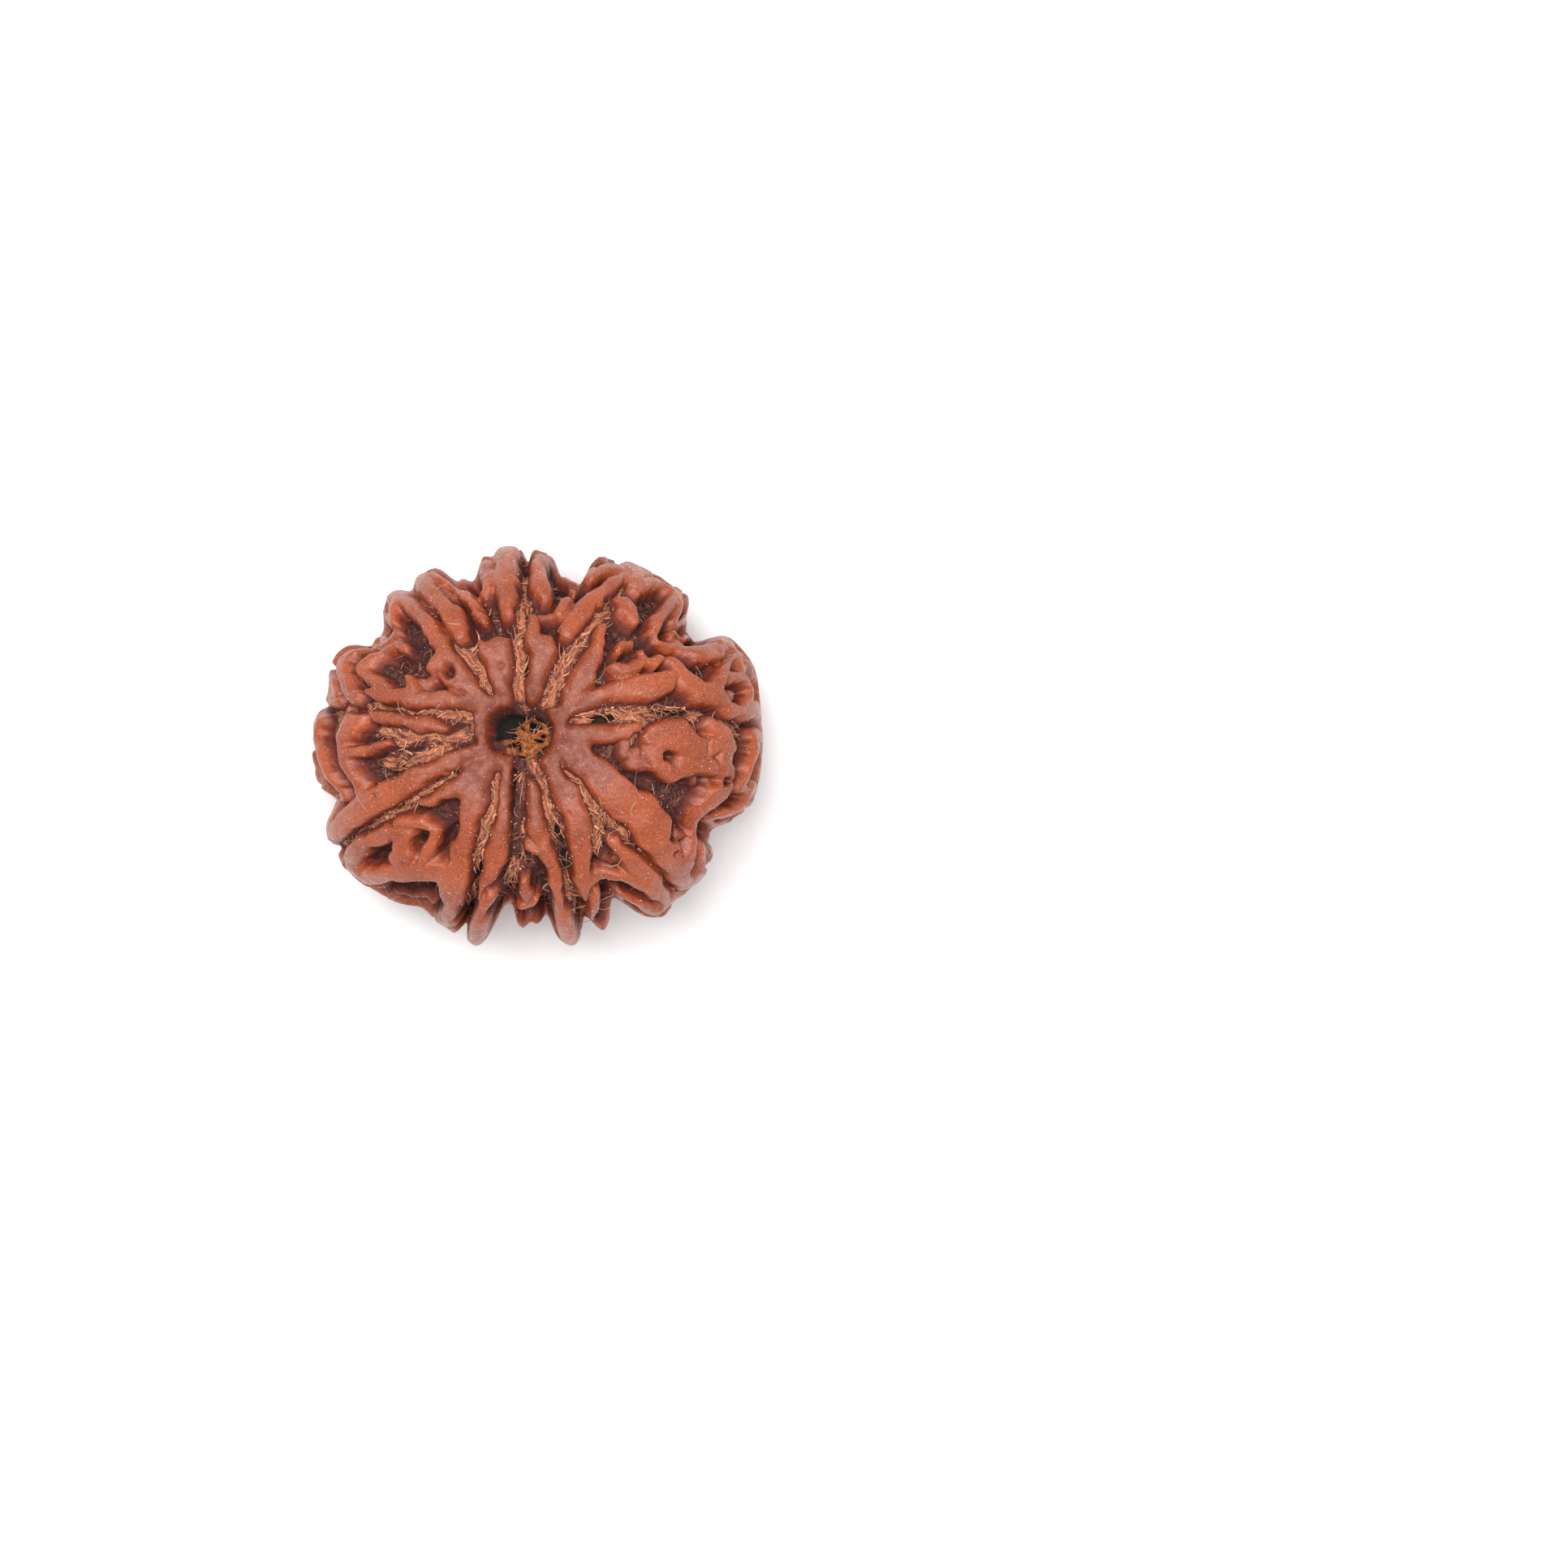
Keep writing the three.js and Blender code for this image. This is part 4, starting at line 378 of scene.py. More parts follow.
# Below its widest line the seed is grown by rule: its clefts run on to the lower pole at these azimuths
CLEFT_AZIMUTHS = [5, 61, 93.5, 128, 171, 207, 247, 262, 284, 313]
# Lines run between degrees from the upper pole. A pair is the least and most of a random draw
CLEFT_DEGREES = range(80, 161, 8)
CLEFT_HALF_WIDTH = 0.36
RIM_DEGREES = range(97, 162, 5)
RIM_HALF_WIDTHS = (0.38, 0.8)
RIM_EDGE = 0.4
RIM_NARROWS = {"from": 138, "half_width": 0.8, "sideways": 0.86}
BAR_END = 152
BAR_STARTS = (92, 97)
BAR_SPACINGS = (2.3, 3.2)
BAR_HALF_WIDTHS = (0.45, 0.9)
BAR_SLANTS = (-9, 9)
BAR_WAVES = (-2.5, 2.5)
BAR_INSET = 0.9
BAR_MIDDLES = (0.35, 0.65)
OPEN_BARS = 0.3
NARROWEST_PANEL = 2.8
WIDE_PANEL = 5
KNOB_MIDDLES = (0.38, 0.62)
KNOB_SHIFTS = (-4, 4)
KNOB_DEGREES = (2, 8)
KNOB_TOPS = (0.4, 0.75)
KNOB_TIPS = (0.26, 0.5)
PLATE_DEGREES = {"start": 150, "end": 172, "waist": (5, 8)}
PLATE_MIDDLES = (0.45, 0.55)
PLATE_HALF_WIDTHS = ((0.5, 0.7), (0.55, 0.72), (0.36, 0.5))
OVERHANG_FROM = 0.88
OVERHANG_START = 91
OVERHANG_ENDS = (96, 110)
OVERHANG_SHIFTS = (-0.45, 0.45)
OVERHANG_TAPER = 0.8
RULE_SEED = 4177
RANDOM_FACTOR = 16807
RANDOM_MODULUS = 2147483647
SWING = 6
SWING_PACE = 5
SWING_TURNS = 3


class Line:
    """A ribbon along some points, with a half width at each."""

    def __init__(self, points, half_widths):
        self.points = np.asarray(points, float)
        self.half_widths = np.asarray(half_widths, float)
        self.middle = (self.points.min(axis=0) + self.points.max(axis=0)) / 2
        self.reach = np.linalg.norm(self.points - self.middle, axis=1).max() + RIBBON_REACH
        self.lengths = np.linalg.norm(np.diff(self.points, axis=0), axis=1)

    def measure(self, places):
        """Which places are near, how deep inside the ribbon they lie, its half width and where along it."""
        near = np.nonzero(np.linalg.norm(places - self.middle, axis=1) < self.reach)[0]
        here = places[near]
        depth = np.full(len(near), FAR_OUTSIDE)
        width = np.full(len(near), FAR_HALF_WIDTH)
        along = np.zeros(len(near))
        across = np.zeros(len(near))
        done = 0.0
        for i, length in enumerate(self.lengths):
            way = self.points[i + 1] - self.points[i]
            offset = here - self.points[i]
            share = np.clip(offset @ way / length**2, 0, 1)
            half_width = self.half_widths[i] + share * (self.half_widths[i + 1] - self.half_widths[i])
            away = offset - share[:, None] * way
            inside = half_width - np.linalg.norm(away, axis=1)
            better = inside > depth
            depth[better] = inside[better]
            width[better] = half_width[better]
            along[better] = (done + share * length)[better]
            side = np.sign(np.einsum("ij,ij->i", np.cross(way, away), here))
            across[better] = (side * np.linalg.norm(away, axis=1))[better]
            done += length
        return near, depth, width, along, across


def smoothstep(value, low, high):
    share = np.clip((value - low) / (high - low), 0, 1)
    return share * share * (3 - 2 * share)


def noise(places, scale, seed):
    """Smooth noise from about -1 to 1 that changes over about a length."""
    lattice = np.random.default_rng(seed).uniform(-1, 1, (NOISE_CELLS,) * 3)
    spot = places / scale + 100
    cell = np.floor(spot).astype(int)
    share = spot - cell
    share = share * share * (3 - 2 * share)
    total = np.zeros(len(places))
    for corner in np.ndindex(2, 2, 2):
        weight = np.prod(np.where(corner, share, 1 - share), axis=1)
        index = (cell + corner) % NOISE_CELLS
        total += weight * lattice[index[:, 0], index[:, 1], index[:, 2]]
    return NOISE_GAIN * total


def uneven(places, rows, turn=0):
    """The sum of some rows of noise, with their seeds moved on by a turn."""
    return sum(share * noise(places, length, seed + turn) for share, length, seed in rows)


def unit(vectors):
    return vectors / np.linalg.norm(vectors, axis=-1, keepdims=True)


def pole_pit(places, axis):
    """The value that belongs to the pole on a place's side."""
    return np.where(places[:, 2] > 0, UPPER_PIT[axis], LOWER_PIT[axis])


def rim_share(x, y, rim):
    """How far places are from the middle of a pit, as a share of its rim's radius there."""
    azimuths, radii = np.array(rim).T
    azimuth = np.degrees(np.arctan2(y, x))
    return np.hypot(x, y) / np.interp(azimuth, azimuths, radii, period=360)


def crest_points(directions):
    """The points of the ridge tops in some directions from the seed's middle."""
    plan = np.hypot(directions[:, 0] / HALF[0], directions[:, 1] / HALF[1])
    level = np.abs(directions[:, 2]) / HALF[2]
    reach = (plan**FLANK_SQUARENESS + level**FLANK_SQUARENESS) ** (-1 / FLANK_SQUARENESS)
    places = directions * reach[:, None]
    azimuth = np.degrees(np.arctan2(places[:, 1], places[:, 0]))
    rise = np.zeros(len(places))
    for middle, half_width, height in OUTLINE_BULGES:
        off = (azimuth - middle + 180) % 360 - 180
        rise += height * np.exp(-((off / half_width) ** 2))
    from_pole = np.hypot(places[:, 0] - pole_pit(places, "x"), places[:, 1] - pole_pit(places, "y"))
    change = rise * (plan * reach) ** OUTLINE_POWER
    change -= DIMPLE_DEPTH * np.exp(-((from_pole / DIMPLE_SPREAD) ** 2))
    return places + directions * change[:, None]


def crest_over(x, y):
    """The point of the ridge tops above a place in plan."""
    plan = min(math.hypot(x / HALF[0], y / HALF[1]), ALMOST_WIDEST)
    height = HALF[2] * (1 - plan**FLANK_SQUARENESS) ** (1 / FLANK_SQUARENESS)
    return crest_points(unit(np.array([[x, y, height]])))[0]


def crest_on_meridian(azimuth, from_top, sideways=0.0):
    """A place on the flank or underside, on the line from the lower pole to the outline at an azimuth."""
    side = math.cos(math.radians(SWING_TURNS * azimuth))
    swing = SWING * math.sin(math.radians(SWING_PACE * (from_top - 90))) * side
    turn = math.radians(azimuth + swing)
    way = np.array([math.cos(turn), math.sin(turn)])
    out = way / math.hypot(way[0] / HALF[0], way[1] / HALF[1])
    pole = np.array([LOWER_PIT["x"], LOWER_PIT["y"]])
    along = out - pole
    aside = np.array([-along[1], along[0]]) / np.linalg.norm(along)
    place = pole + along * math.sin(math.radians(from_top)) + aside * sideways
    height = HALF[2] * math.cos(math.radians(from_top))
    return crest_points(unit(np.array([[place[0], place[1], height]])))[0]


def upper_line(points):
    return Line([crest_over(x, y) for x, y, _ in points], [half_width for _, _, half_width in points])


def overhang(end, draw):
    """The part of an upper ridge that hangs over the widest line, if that end of it comes close enough."""
    x, y, half_width = end
    down = draw(*OVERHANG_ENDS)
    sideways = draw(*OVERHANG_SHIFTS)
    if math.hypot(x / HALF[0], y / HALF[1]) < OVERHANG_FROM:
        return [], []
    azimuth = math.degrees(math.atan2(y, x))
    places = [crest_on_meridian(azimuth, OVERHANG_START), crest_on_meridian(azimuth, down, sideways)]
    return places, [half_width, OVERHANG_TAPER * half_width]


def upper_ridges():
    draw = random_source(RULE_SEED)
    lines = []
    for points in UPPER_RIDGES:
        first, first_widths = overhang(points[0], draw)
        last, last_widths = overhang(points[-1], draw)
        middle = [crest_over(x, y) for x, y, _ in points]
        widths = [half_width for _, _, half_width in points]
        lines.append(Line(first[::-1] + middle + last, first_widths[::-1] + widths + last_widths))
    return lines


def random_source(seed):
    """The generator that grows the flank's ridges, the same each time."""
    state = [seed]

    def draw(low, high):
        state[0] = state[0] * RANDOM_FACTOR % RANDOM_MODULUS
        return low + state[0] / RANDOM_MODULUS * (high - low)

    return draw


def lower_clefts():
    lines = []
    for azimuth in CLEFT_AZIMUTHS:
        points = [crest_on_meridian(azimuth, from_top) for from_top in CLEFT_DEGREES]
        lines.append(Line(points, [CLEFT_HALF_WIDTH] * len(points)))
    return lines


def lower_rim(azimuth, side, draw):
    """A rim of a cleft on the flank and underside, on one side of it."""
    points = []
    widths = []
    for from_top in RIM_DEGREES:
        narrow = from_top > RIM_NARROWS["from"]
        half_width = draw(*RIM_HALF_WIDTHS) * (RIM_NARROWS["half_width"] if narrow else 1)
        sideways = side * (RIM_EDGE + half_width) * (RIM_NARROWS["sideways"] if narrow else 1)
        points.append(crest_on_meridian(azimuth, from_top, sideways))
        widths.append(half_width)
    return Line(points, widths)


def panel_ridges(start, end, draw):
    """The plates and knobs of one panel of the flank, between the clefts at two azimuths."""
    lines = []
    from_top = draw(*BAR_STARTS)
    while from_top < BAR_END:
        radius = np.linalg.norm(crest_on_meridian((start + end) / 2, from_top))
        width = math.radians(end - start) * HALF[0] * math.sin(math.radians(from_top))
        if width > NARROWEST_PANEL:
            inset = BAR_INSET / width
            wide = width > WIDE_PANEL
            shares = [inset, *BAR_MIDDLES, 1 - inset] if wide else [inset, 0.5, 1 - inset]
            slant = draw(*BAR_SLANTS)
            points = []
            widths = []
            for share in shares:
                down = from_top + slant * (share - 0.5) + draw(*BAR_WAVES)
                points.append(crest_on_meridian(start + share * (end - start), down))
                widths.append(draw(*BAR_HALF_WIDTHS))
            kind = draw(0, 1)
            first = 1 if OPEN_BARS <= kind < 2 * OPEN_BARS else 0
            last = len(points) - (1 if kind < OPEN_BARS else 0)
            lines.append(Line(points[first:last], widths[first:last]))
            middle = start + draw(*KNOB_MIDDLES) * (end - start)
            if wide:
                top, tip = KNOB_DEGREES
                upper = crest_on_meridian(middle, from_top + top)
                upper_width = draw(*KNOB_TOPS)
                lower = crest_on_meridian(middle + draw(*KNOB_SHIFTS), from_top + tip)
                lines.append(Line([upper, lower], [upper_width, draw(*KNOB_TIPS)]))
        from_top += math.degrees(draw(*BAR_SPACINGS) / radius)
    return lines


def pole_plate(start, end, draw):
    """The plate that a panel ends in beside the lower pit."""
    middle = start + draw(*PLATE_MIDDLES) * (end - start)
    waist = PLATE_DEGREES["end"] - draw(*PLATE_DEGREES["waist"])
    degrees = (PLATE_DEGREES["start"], waist, PLATE_DEGREES["end"])
    widths = [draw(*limits) for limits in PLATE_HALF_WIDTHS]
    return Line([crest_on_meridian(middle, from_top) for from_top in degrees], widths)


def lower_ridges():
    draw = random_source(RULE_SEED)
    lines = [lower_rim(azimuth, side, draw) for azimuth in CLEFT_AZIMUTHS for side in (-1, 1)]
    ends = CLEFT_AZIMUTHS[1:] + [CLEFT_AZIMUTHS[0] + 360]
    for start, end in zip(CLEFT_AZIMUTHS, ends):
        lines += panel_ridges(start, end, draw)
        lines.append(pole_plate(start, end, draw))
    return lines


RIDGES = upper_ridges() + lower_ridges()
SADDLES = [upper_line(points) for points in UPPER_SADDLES]
PITS = [(depth, upper_line(points)) for depth, points in UPPER_PITS]
CLEFTS = [upper_line(points) for points in UPPER_CLEFTS] + lower_clefts()
SLITS = [upper_line(points) for points in UPPER_SLITS]
HOLES = [upper_line(points) for points in PLUG_HOLES]
STAINS = [upper_line(points) for points in DARK_STAINS]


def rounded(share):
    """The rounded edge of a ridge, from 0 at its foot to 1."""
    inside = np.clip(share, 0, 1)
    return np.sqrt(inside * (2 - inside))


def flank_share(places):
    """How far places are from the upper side, 0, toward the flank and underside, 1."""
    start, full = FLANK_LEVELS
    return 1 - smoothstep(places[:, 2] / HALF[2], full, start)


def wavered(places):
    """Where places are looked for among the lines: on the flank, moved in slow and quick waves."""
    moves = [sum(size * np.sin(places @ turns + start) for size, *turns, start in waves) for waves in WAVES]
    return places + np.stack(moves, axis=1) * (WAVE_SIZE * flank_share(places))[:, None]


def strongest(lines, places, strength):
    """The most that some lines give at each place, from which places are near one and how deep inside it."""
    most = np.zeros(len(places))
    for line in lines:
        near, depth, _, _, _ = line.measure(places)
        most[near] = np.maximum(most[near], strength(near, depth))
    return most


def ridge_depth(places, blend):
    """How deep places lie inside the ridges, which flow together where they meet, and how wide these are."""
    total = np.full(len(places), LEAST_WEIGHT)
    widths = FAR_HALF_WIDTH * total
    for line in RIDGES:
        near, depth, width, _, _ = line.measure(places)
        weight = np.where(depth > FAR_OUTSIDE, np.exp(depth / blend[near]), 0)
        total[near] += weight
        widths[near] += weight * width
    return np.maximum(blend * np.log(total), FAR_OUTSIDE) + RIDGE_FOOT, widths / total


def cleft_floor(places, full):
    """The floor between the ridges, its slit, how far it is in a cleft, and how the fibres lie there."""
    floor = full.copy()
    slit = np.zeros(len(places))
    cleft = np.zeros(len(places))
    fibre = np.zeros((len(places), 3))
    closest = np.full(len(places), FAR_OUTSIDE)
    for line in CLEFTS:
        near, depth, half_width, along, across = line.measure(places)
        share = smoothstep(depth, *CLEFT_BANK)
        floor[near] = np.minimum(floor[near], full[near] * (1 - (1 - CLEFT_FLOOR) * share))
        slit[near] = np.maximum(slit[near], CLEFT_SLIT * smoothstep(depth - half_width, -SLIT_HALF_WIDTH, 0))
        cleft[near] = np.maximum(cleft[near], share)
        better = depth > closest[near]
        closest[near[better]] = depth[better]
        fibre[near[better]] = np.stack([across, along, depth], axis=1)[better]
    return floor, slit, cleft, fibre


def relief(crest):
    """How far the surface lies below the ridge tops at some places of them, and what it is there."""
    even = wavered(crest)
    places = even + np.stack([uneven(crest, RAGGED_EDGES, axis) for axis in range(3)], axis=1)
    blend = BLENDS[0] + (BLENDS[1] - BLENDS[0]) * flank_share(crest)
    plan = np.hypot(crest[:, 0] / HALF[0], crest[:, 1] / HALF[1])
    full = RELIEF_AT_POLE + (RELIEF_AT_EQUATOR - RELIEF_AT_POLE) * smoothstep(plan, *RELIEF_SPREAD)
    inside, width = ridge_depth(places, blend)
    floor, slit, cleft, fibre = cleft_floor(places, full)
    split = strongest(SLITS, even, lambda near, depth: smoothstep(depth, *SLIT_EDGE))

    rounding = np.clip(width, *RIDGE_ROUNDINGS)
    saddle = strongest(SADDLES, places, lambda near, depth: rounded((depth + RIDGE_FOOT) / rounding[near]))
    edge = np.maximum(rounded(inside / rounding), SADDLE_SHARE * saddle)
    rise = CREST_RISE * (np.clip(inside, 0, 1) - CREST_EVEN) + SKIN_WAVES * uneven(places, SKIN_NOISE)
    rough = FLOOR_ROUGHNESS * uneven(places, FLOOR_NOISE)
    apart, length = STRAND_SPACING
    strands = np.stack([fibre[:, 0] / apart, fibre[:, 1] / length, np.zeros(len(places))], axis=1)
    stringy = STRAND_ROUGHNESS * uneven(strands, STRAND_NOISE)
    floor += slit + np.where(cleft > IN_CLEFT, stringy + CLEFT_EVENNESS * rough, rough) + SLIT_DEPTH * split
    pitted = np.zeros(len(places))
    for deepest, line in PITS:
        near, depth, _, _, _ = line.measure(places)
        pitted[near] = np.maximum(pitted[near], deepest * edge[near] * smoothstep(depth, *PIT_EDGE))
    stain = strongest(STAINS, places, lambda near, depth:
                      smoothstep(depth + uneven(places[near], STAIN_NOISE), *STAIN_EDGE))
    depth = floor * (1 - edge) - rise * edge + pitted
    return {"depth": depth, "ridge": edge, "pitted": pitted, "cleft": cleft, "split": split, "fibre": fibre,
            "stain": stain}


def mouth(places):
    """How deep the pits at the poles are at some places, how far these lie inside, and the plug's share."""
    x = places[:, 0] - pole_pit(places, "x")
    y = places[:, 1] - pole_pit(places, "y")
    upper = places[:, 2] > 0
    share = np.where(upper, rim_share(x, y, UPPER_RIM), rim_share(x, y, LOWER_RIM))
    within = 1 - smoothstep(share + uneven(places, RIM_NOISE), *PIT_WALL)
    depth = pole_pit(places, "depth") * within
    share = rim_share(places[:, 0] - PLUG["x"], places[:, 1] - PLUG["y"], PLUG_RIM)
    plug = (1 - smoothstep(share + uneven(places, PLUG_EDGE_NOISE), *PLUG_EDGE)) * upper
    hole = strongest(HOLES, places, lambda near, depth:
                     smoothstep(depth + uneven(places[near], HOLE_NOISE), *HOLE_EDGE))
    plug_depth = PLUG["depth"] + uneven(places, PLUG_NOISE) + HOLE_DEPTH * hole
    depth = np.where(plug > 0, depth + plug * (np.minimum(plug_depth, depth) - depth), depth)
    return depth, within, plug * (1 - hole)


def surface(directions):
    """The points of the finished surface in some directions, with what it is there."""
    places = crest_points(directions)
    facts = relief(places)
    hole_depth, hole, plug = mouth(places)
    sunk = np.maximum(facts["depth"], hole_depth)
    facts["hole"] = hole
    facts["plug"] = plug
    facts["crest"] = places
    return places - directions * sunk[:, None], facts


def unit_sphere():
    """The directions of a sphere's points, and its triangles."""
    mesh = bmesh.new()
    subdivisions = SUBDIVISIONS
    bmesh.ops.create_icosphere(mesh, subdivisions=subdivisions, radius=1)
    directions = unit(np.array([v.co[:] for v in mesh.verts]))
    triangles = [[v.index for v in face.verts] for face in mesh.faces]
    mesh.free()
    return directions, triangles


def mesh_object(name, places, faces, material):
    """An object made of points in metres and faces, shown smooth, which rides on the seed."""
    mesh = bpy.data.meshes.new(name)
    mesh.from_pydata(places.tolist(), [], faces)
    mesh.shade_smooth()
    mesh.materials.append(material)
    piece = bpy.data.objects.new(name, mesh)
    bpy.context.scene.collection.objects.link(piece)
    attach(piece, "root")
    return piece


def set_attribute(mesh, name, values):
    """Stores a number or a vector at each point, for the material to read."""
    kind = "FLOAT" if values.ndim == 1 else "FLOAT_VECTOR"
    field = "value" if values.ndim == 1 else "vector"
    attribute = mesh.attributes.new(name, kind, "POINT")
    attribute.data.foreach_set(field, values.astype(np.float32).ravel())


class Fit:
    """The change from the drawn surface to the box of the solid that it replaces."""

    def __init__(self, places):
        self.lowest = places[:, 2].min() + BASE_CUT
        low = np.array([*places[:, :2].min(axis=0), self.lowest])
        high = places.max(axis=0)
        corners = np.array(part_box("seed"))
        self.middle = (low + high) / 2
        self.scale = (corners[1] - corners[0]) / (high - low)
        self.target = (corners[0] + corners[1]) / 2

    def __call__(self, places):
        places = places.copy()
        places[:, 2] = np.maximum(places[:, 2], self.lowest)
        return (places - self.middle) * self.scale + self.target


class Shader:
    """A material's nodes, each made in one call."""

    def __init__(self, name):
        self.material = bpy.data.materials.new(name)
        self.material.use_nodes = True
        self.tree = self.material.node_tree
        self.surface = self.tree.nodes["Principled BSDF"]

    def node(self, kind, **settings):
        made = self.tree.nodes.new("ShaderNode" + kind)
        for key, value in settings.items():
            setattr(made, key, value)
        return made

    def feed(self, socket, value):
        if isinstance(value, bpy.types.NodeSocket):
            self.tree.links.new(value, socket)
        else:
            socket.default_value = value

    def attribute(self, name, output="Fac"):
        return self.node("Attribute", attribute_name=name).outputs[output]

    def place(self):
        """The place on the seed, in millimetres."""
        scaled = self.node("VectorMath", operation="SCALE")
        self.feed(scaled.inputs[0], self.node("TexCoord").outputs["Object"])
        scaled.inputs["Scale"].default_value = 1 / MM
        return scaled.outputs[0]

    def noise(self, place, scale, detail=3.0, roughness=0.55):
        """Noise with about as many swings for each millimetre as its scale."""
        made = self.node("TexNoise")
        self.feed(made.inputs["Vector"], place)
        made.inputs["Scale"].default_value = scale
        made.inputs["Detail"].default_value = detail
        made.inputs["Roughness"].default_value = roughness
        return made.outputs["Fac"]

    def span(self, value, low, high, start=0.0, end=1.0):
        """A value's share of the way from low to high, kept within them."""
        made = self.node("MapRange", interpolation_type="SMOOTHSTEP")
        for name, number in (("From Min", low), ("From Max", high), ("To Min", start), ("To Max", end)):
            made.inputs[name].default_value = number
        self.feed(made.inputs["Value"], value)
        return made.outputs["Result"]

    def mix(self, share, first, second):
        made = self.node("Mix", data_type="RGBA")
        self.feed(made.inputs["Factor"], share)
        self.feed(made.inputs["A"], first)
        self.feed(made.inputs["B"], second)
        return made.outputs["Result"]

    def layers(self, colour, *rows):
        """A colour with others laid over it in turn, each by its share."""
        for share, over in rows:
            colour = self.mix(share, colour, over)
        return colour

    def math(self, operation, first, second):
        made = self.node("Math", operation=operation)
        self.feed(made.inputs[0], first)
        self.feed(made.inputs[1], second)
        return made.outputs[0]

    def bump(self, height, distance, strength=1.0, under=None):
        made = self.node("Bump")
        self.feed(made.inputs["Height"], height)
        made.inputs["Distance"].default_value = distance
        self.feed(made.inputs["Strength"], strength)
        if under is not None:
            self.feed(made.inputs["Normal"], under)
        return made.outputs["Normal"]

    def finish(self, **inputs):
        for name, value in inputs.items():
            self.feed(self.surface.inputs[name.replace("_", " ")], value)
        return self.material


def rgb(red, green, blue):
    """A colour as seen, in parts of 255, as the linear colour that a shader wants."""
    shares = [part / 255 for part in (red, green, blue)]
    return (*[s / 12.92 if s <= 0.04045 else ((s + 0.055) / 1.055) ** 2.4 for s in shares], 1.0)


def skin_colour(shade, place, mottle, grain, painted_mouth_shade):
    """The colour of the ridges: patchy brown with dark pores and pale specks, and painted shade that darkens
    them round the hole.
    """
    patches = shade.noise(place, 0.45, 2)
    pores = shade.noise(place, 11.0, 2, 0.5)
    return shade.layers(
        rgb(137, 59, 28),
        (shade.span(patches, 0.35, 0.65), rgb(158, 72, 36)),
        (shade.span(mottle, 0.5, 0.8, 0, 0.5), rgb(118, 46, 24)),
        (shade.span(grain, 0.42, 0.7, 0, 0.45), rgb(178, 98, 66)),
        (shade.span(pores, 0.34, 0.44, 0.4, 0), rgb(92, 36, 24)),
        (shade.span(pores, 0.64, 0.7, 0, 0.5), rgb(222, 168, 138)),
        (painted_mouth_shade, rgb(90, 30, 13)),
    )


def floor_colour(shade, grain, tangle, strands, fibre, cleft):
    """The colour between the ridges: matted fibre in the clefts and the plug, stained shell elsewhere."""
    parts = shade.node("SeparateXYZ")
    shade.feed(parts.inputs[0], fibre)
    inward = shade.math("ADD", parts.outputs["Z"], shade.span(tangle, 0.3, 0.7, -0.2, 0.2))
    matted = shade.mix(shade.span(strands, 0.38, 0.6), rgb(86, 34, 26), rgb(188, 116, 80))
    bank = shade.mix(shade.span(grain, 0.4, 0.65), rgb(56, 20, 22), rgb(108, 46, 36))
    stained = shade.mix(shade.span(tangle, 0.4, 0.65), rgb(44, 16, 22), rgb(96, 38, 38))
    gold = shade.mix(shade.span(tangle, 0.4, 0.6), rgb(108, 54, 22), rgb(172, 100, 46))
    patchy = shade.math("MULTIPLY", shade.attribute("stain"), shade.span(grain, 0.3, 0.5, 1.0, 0.6))
    return shade.layers(
        shade.mix(shade.span(tangle, 0.4, 0.7), rgb(46, 16, 20), rgb(128, 66, 44)),
        (cleft, shade.mix(shade.span(inward, -0.12, 0.12), bank, matted)),
        (shade.attribute("plug"), gold),
        (patchy, stained),
    )


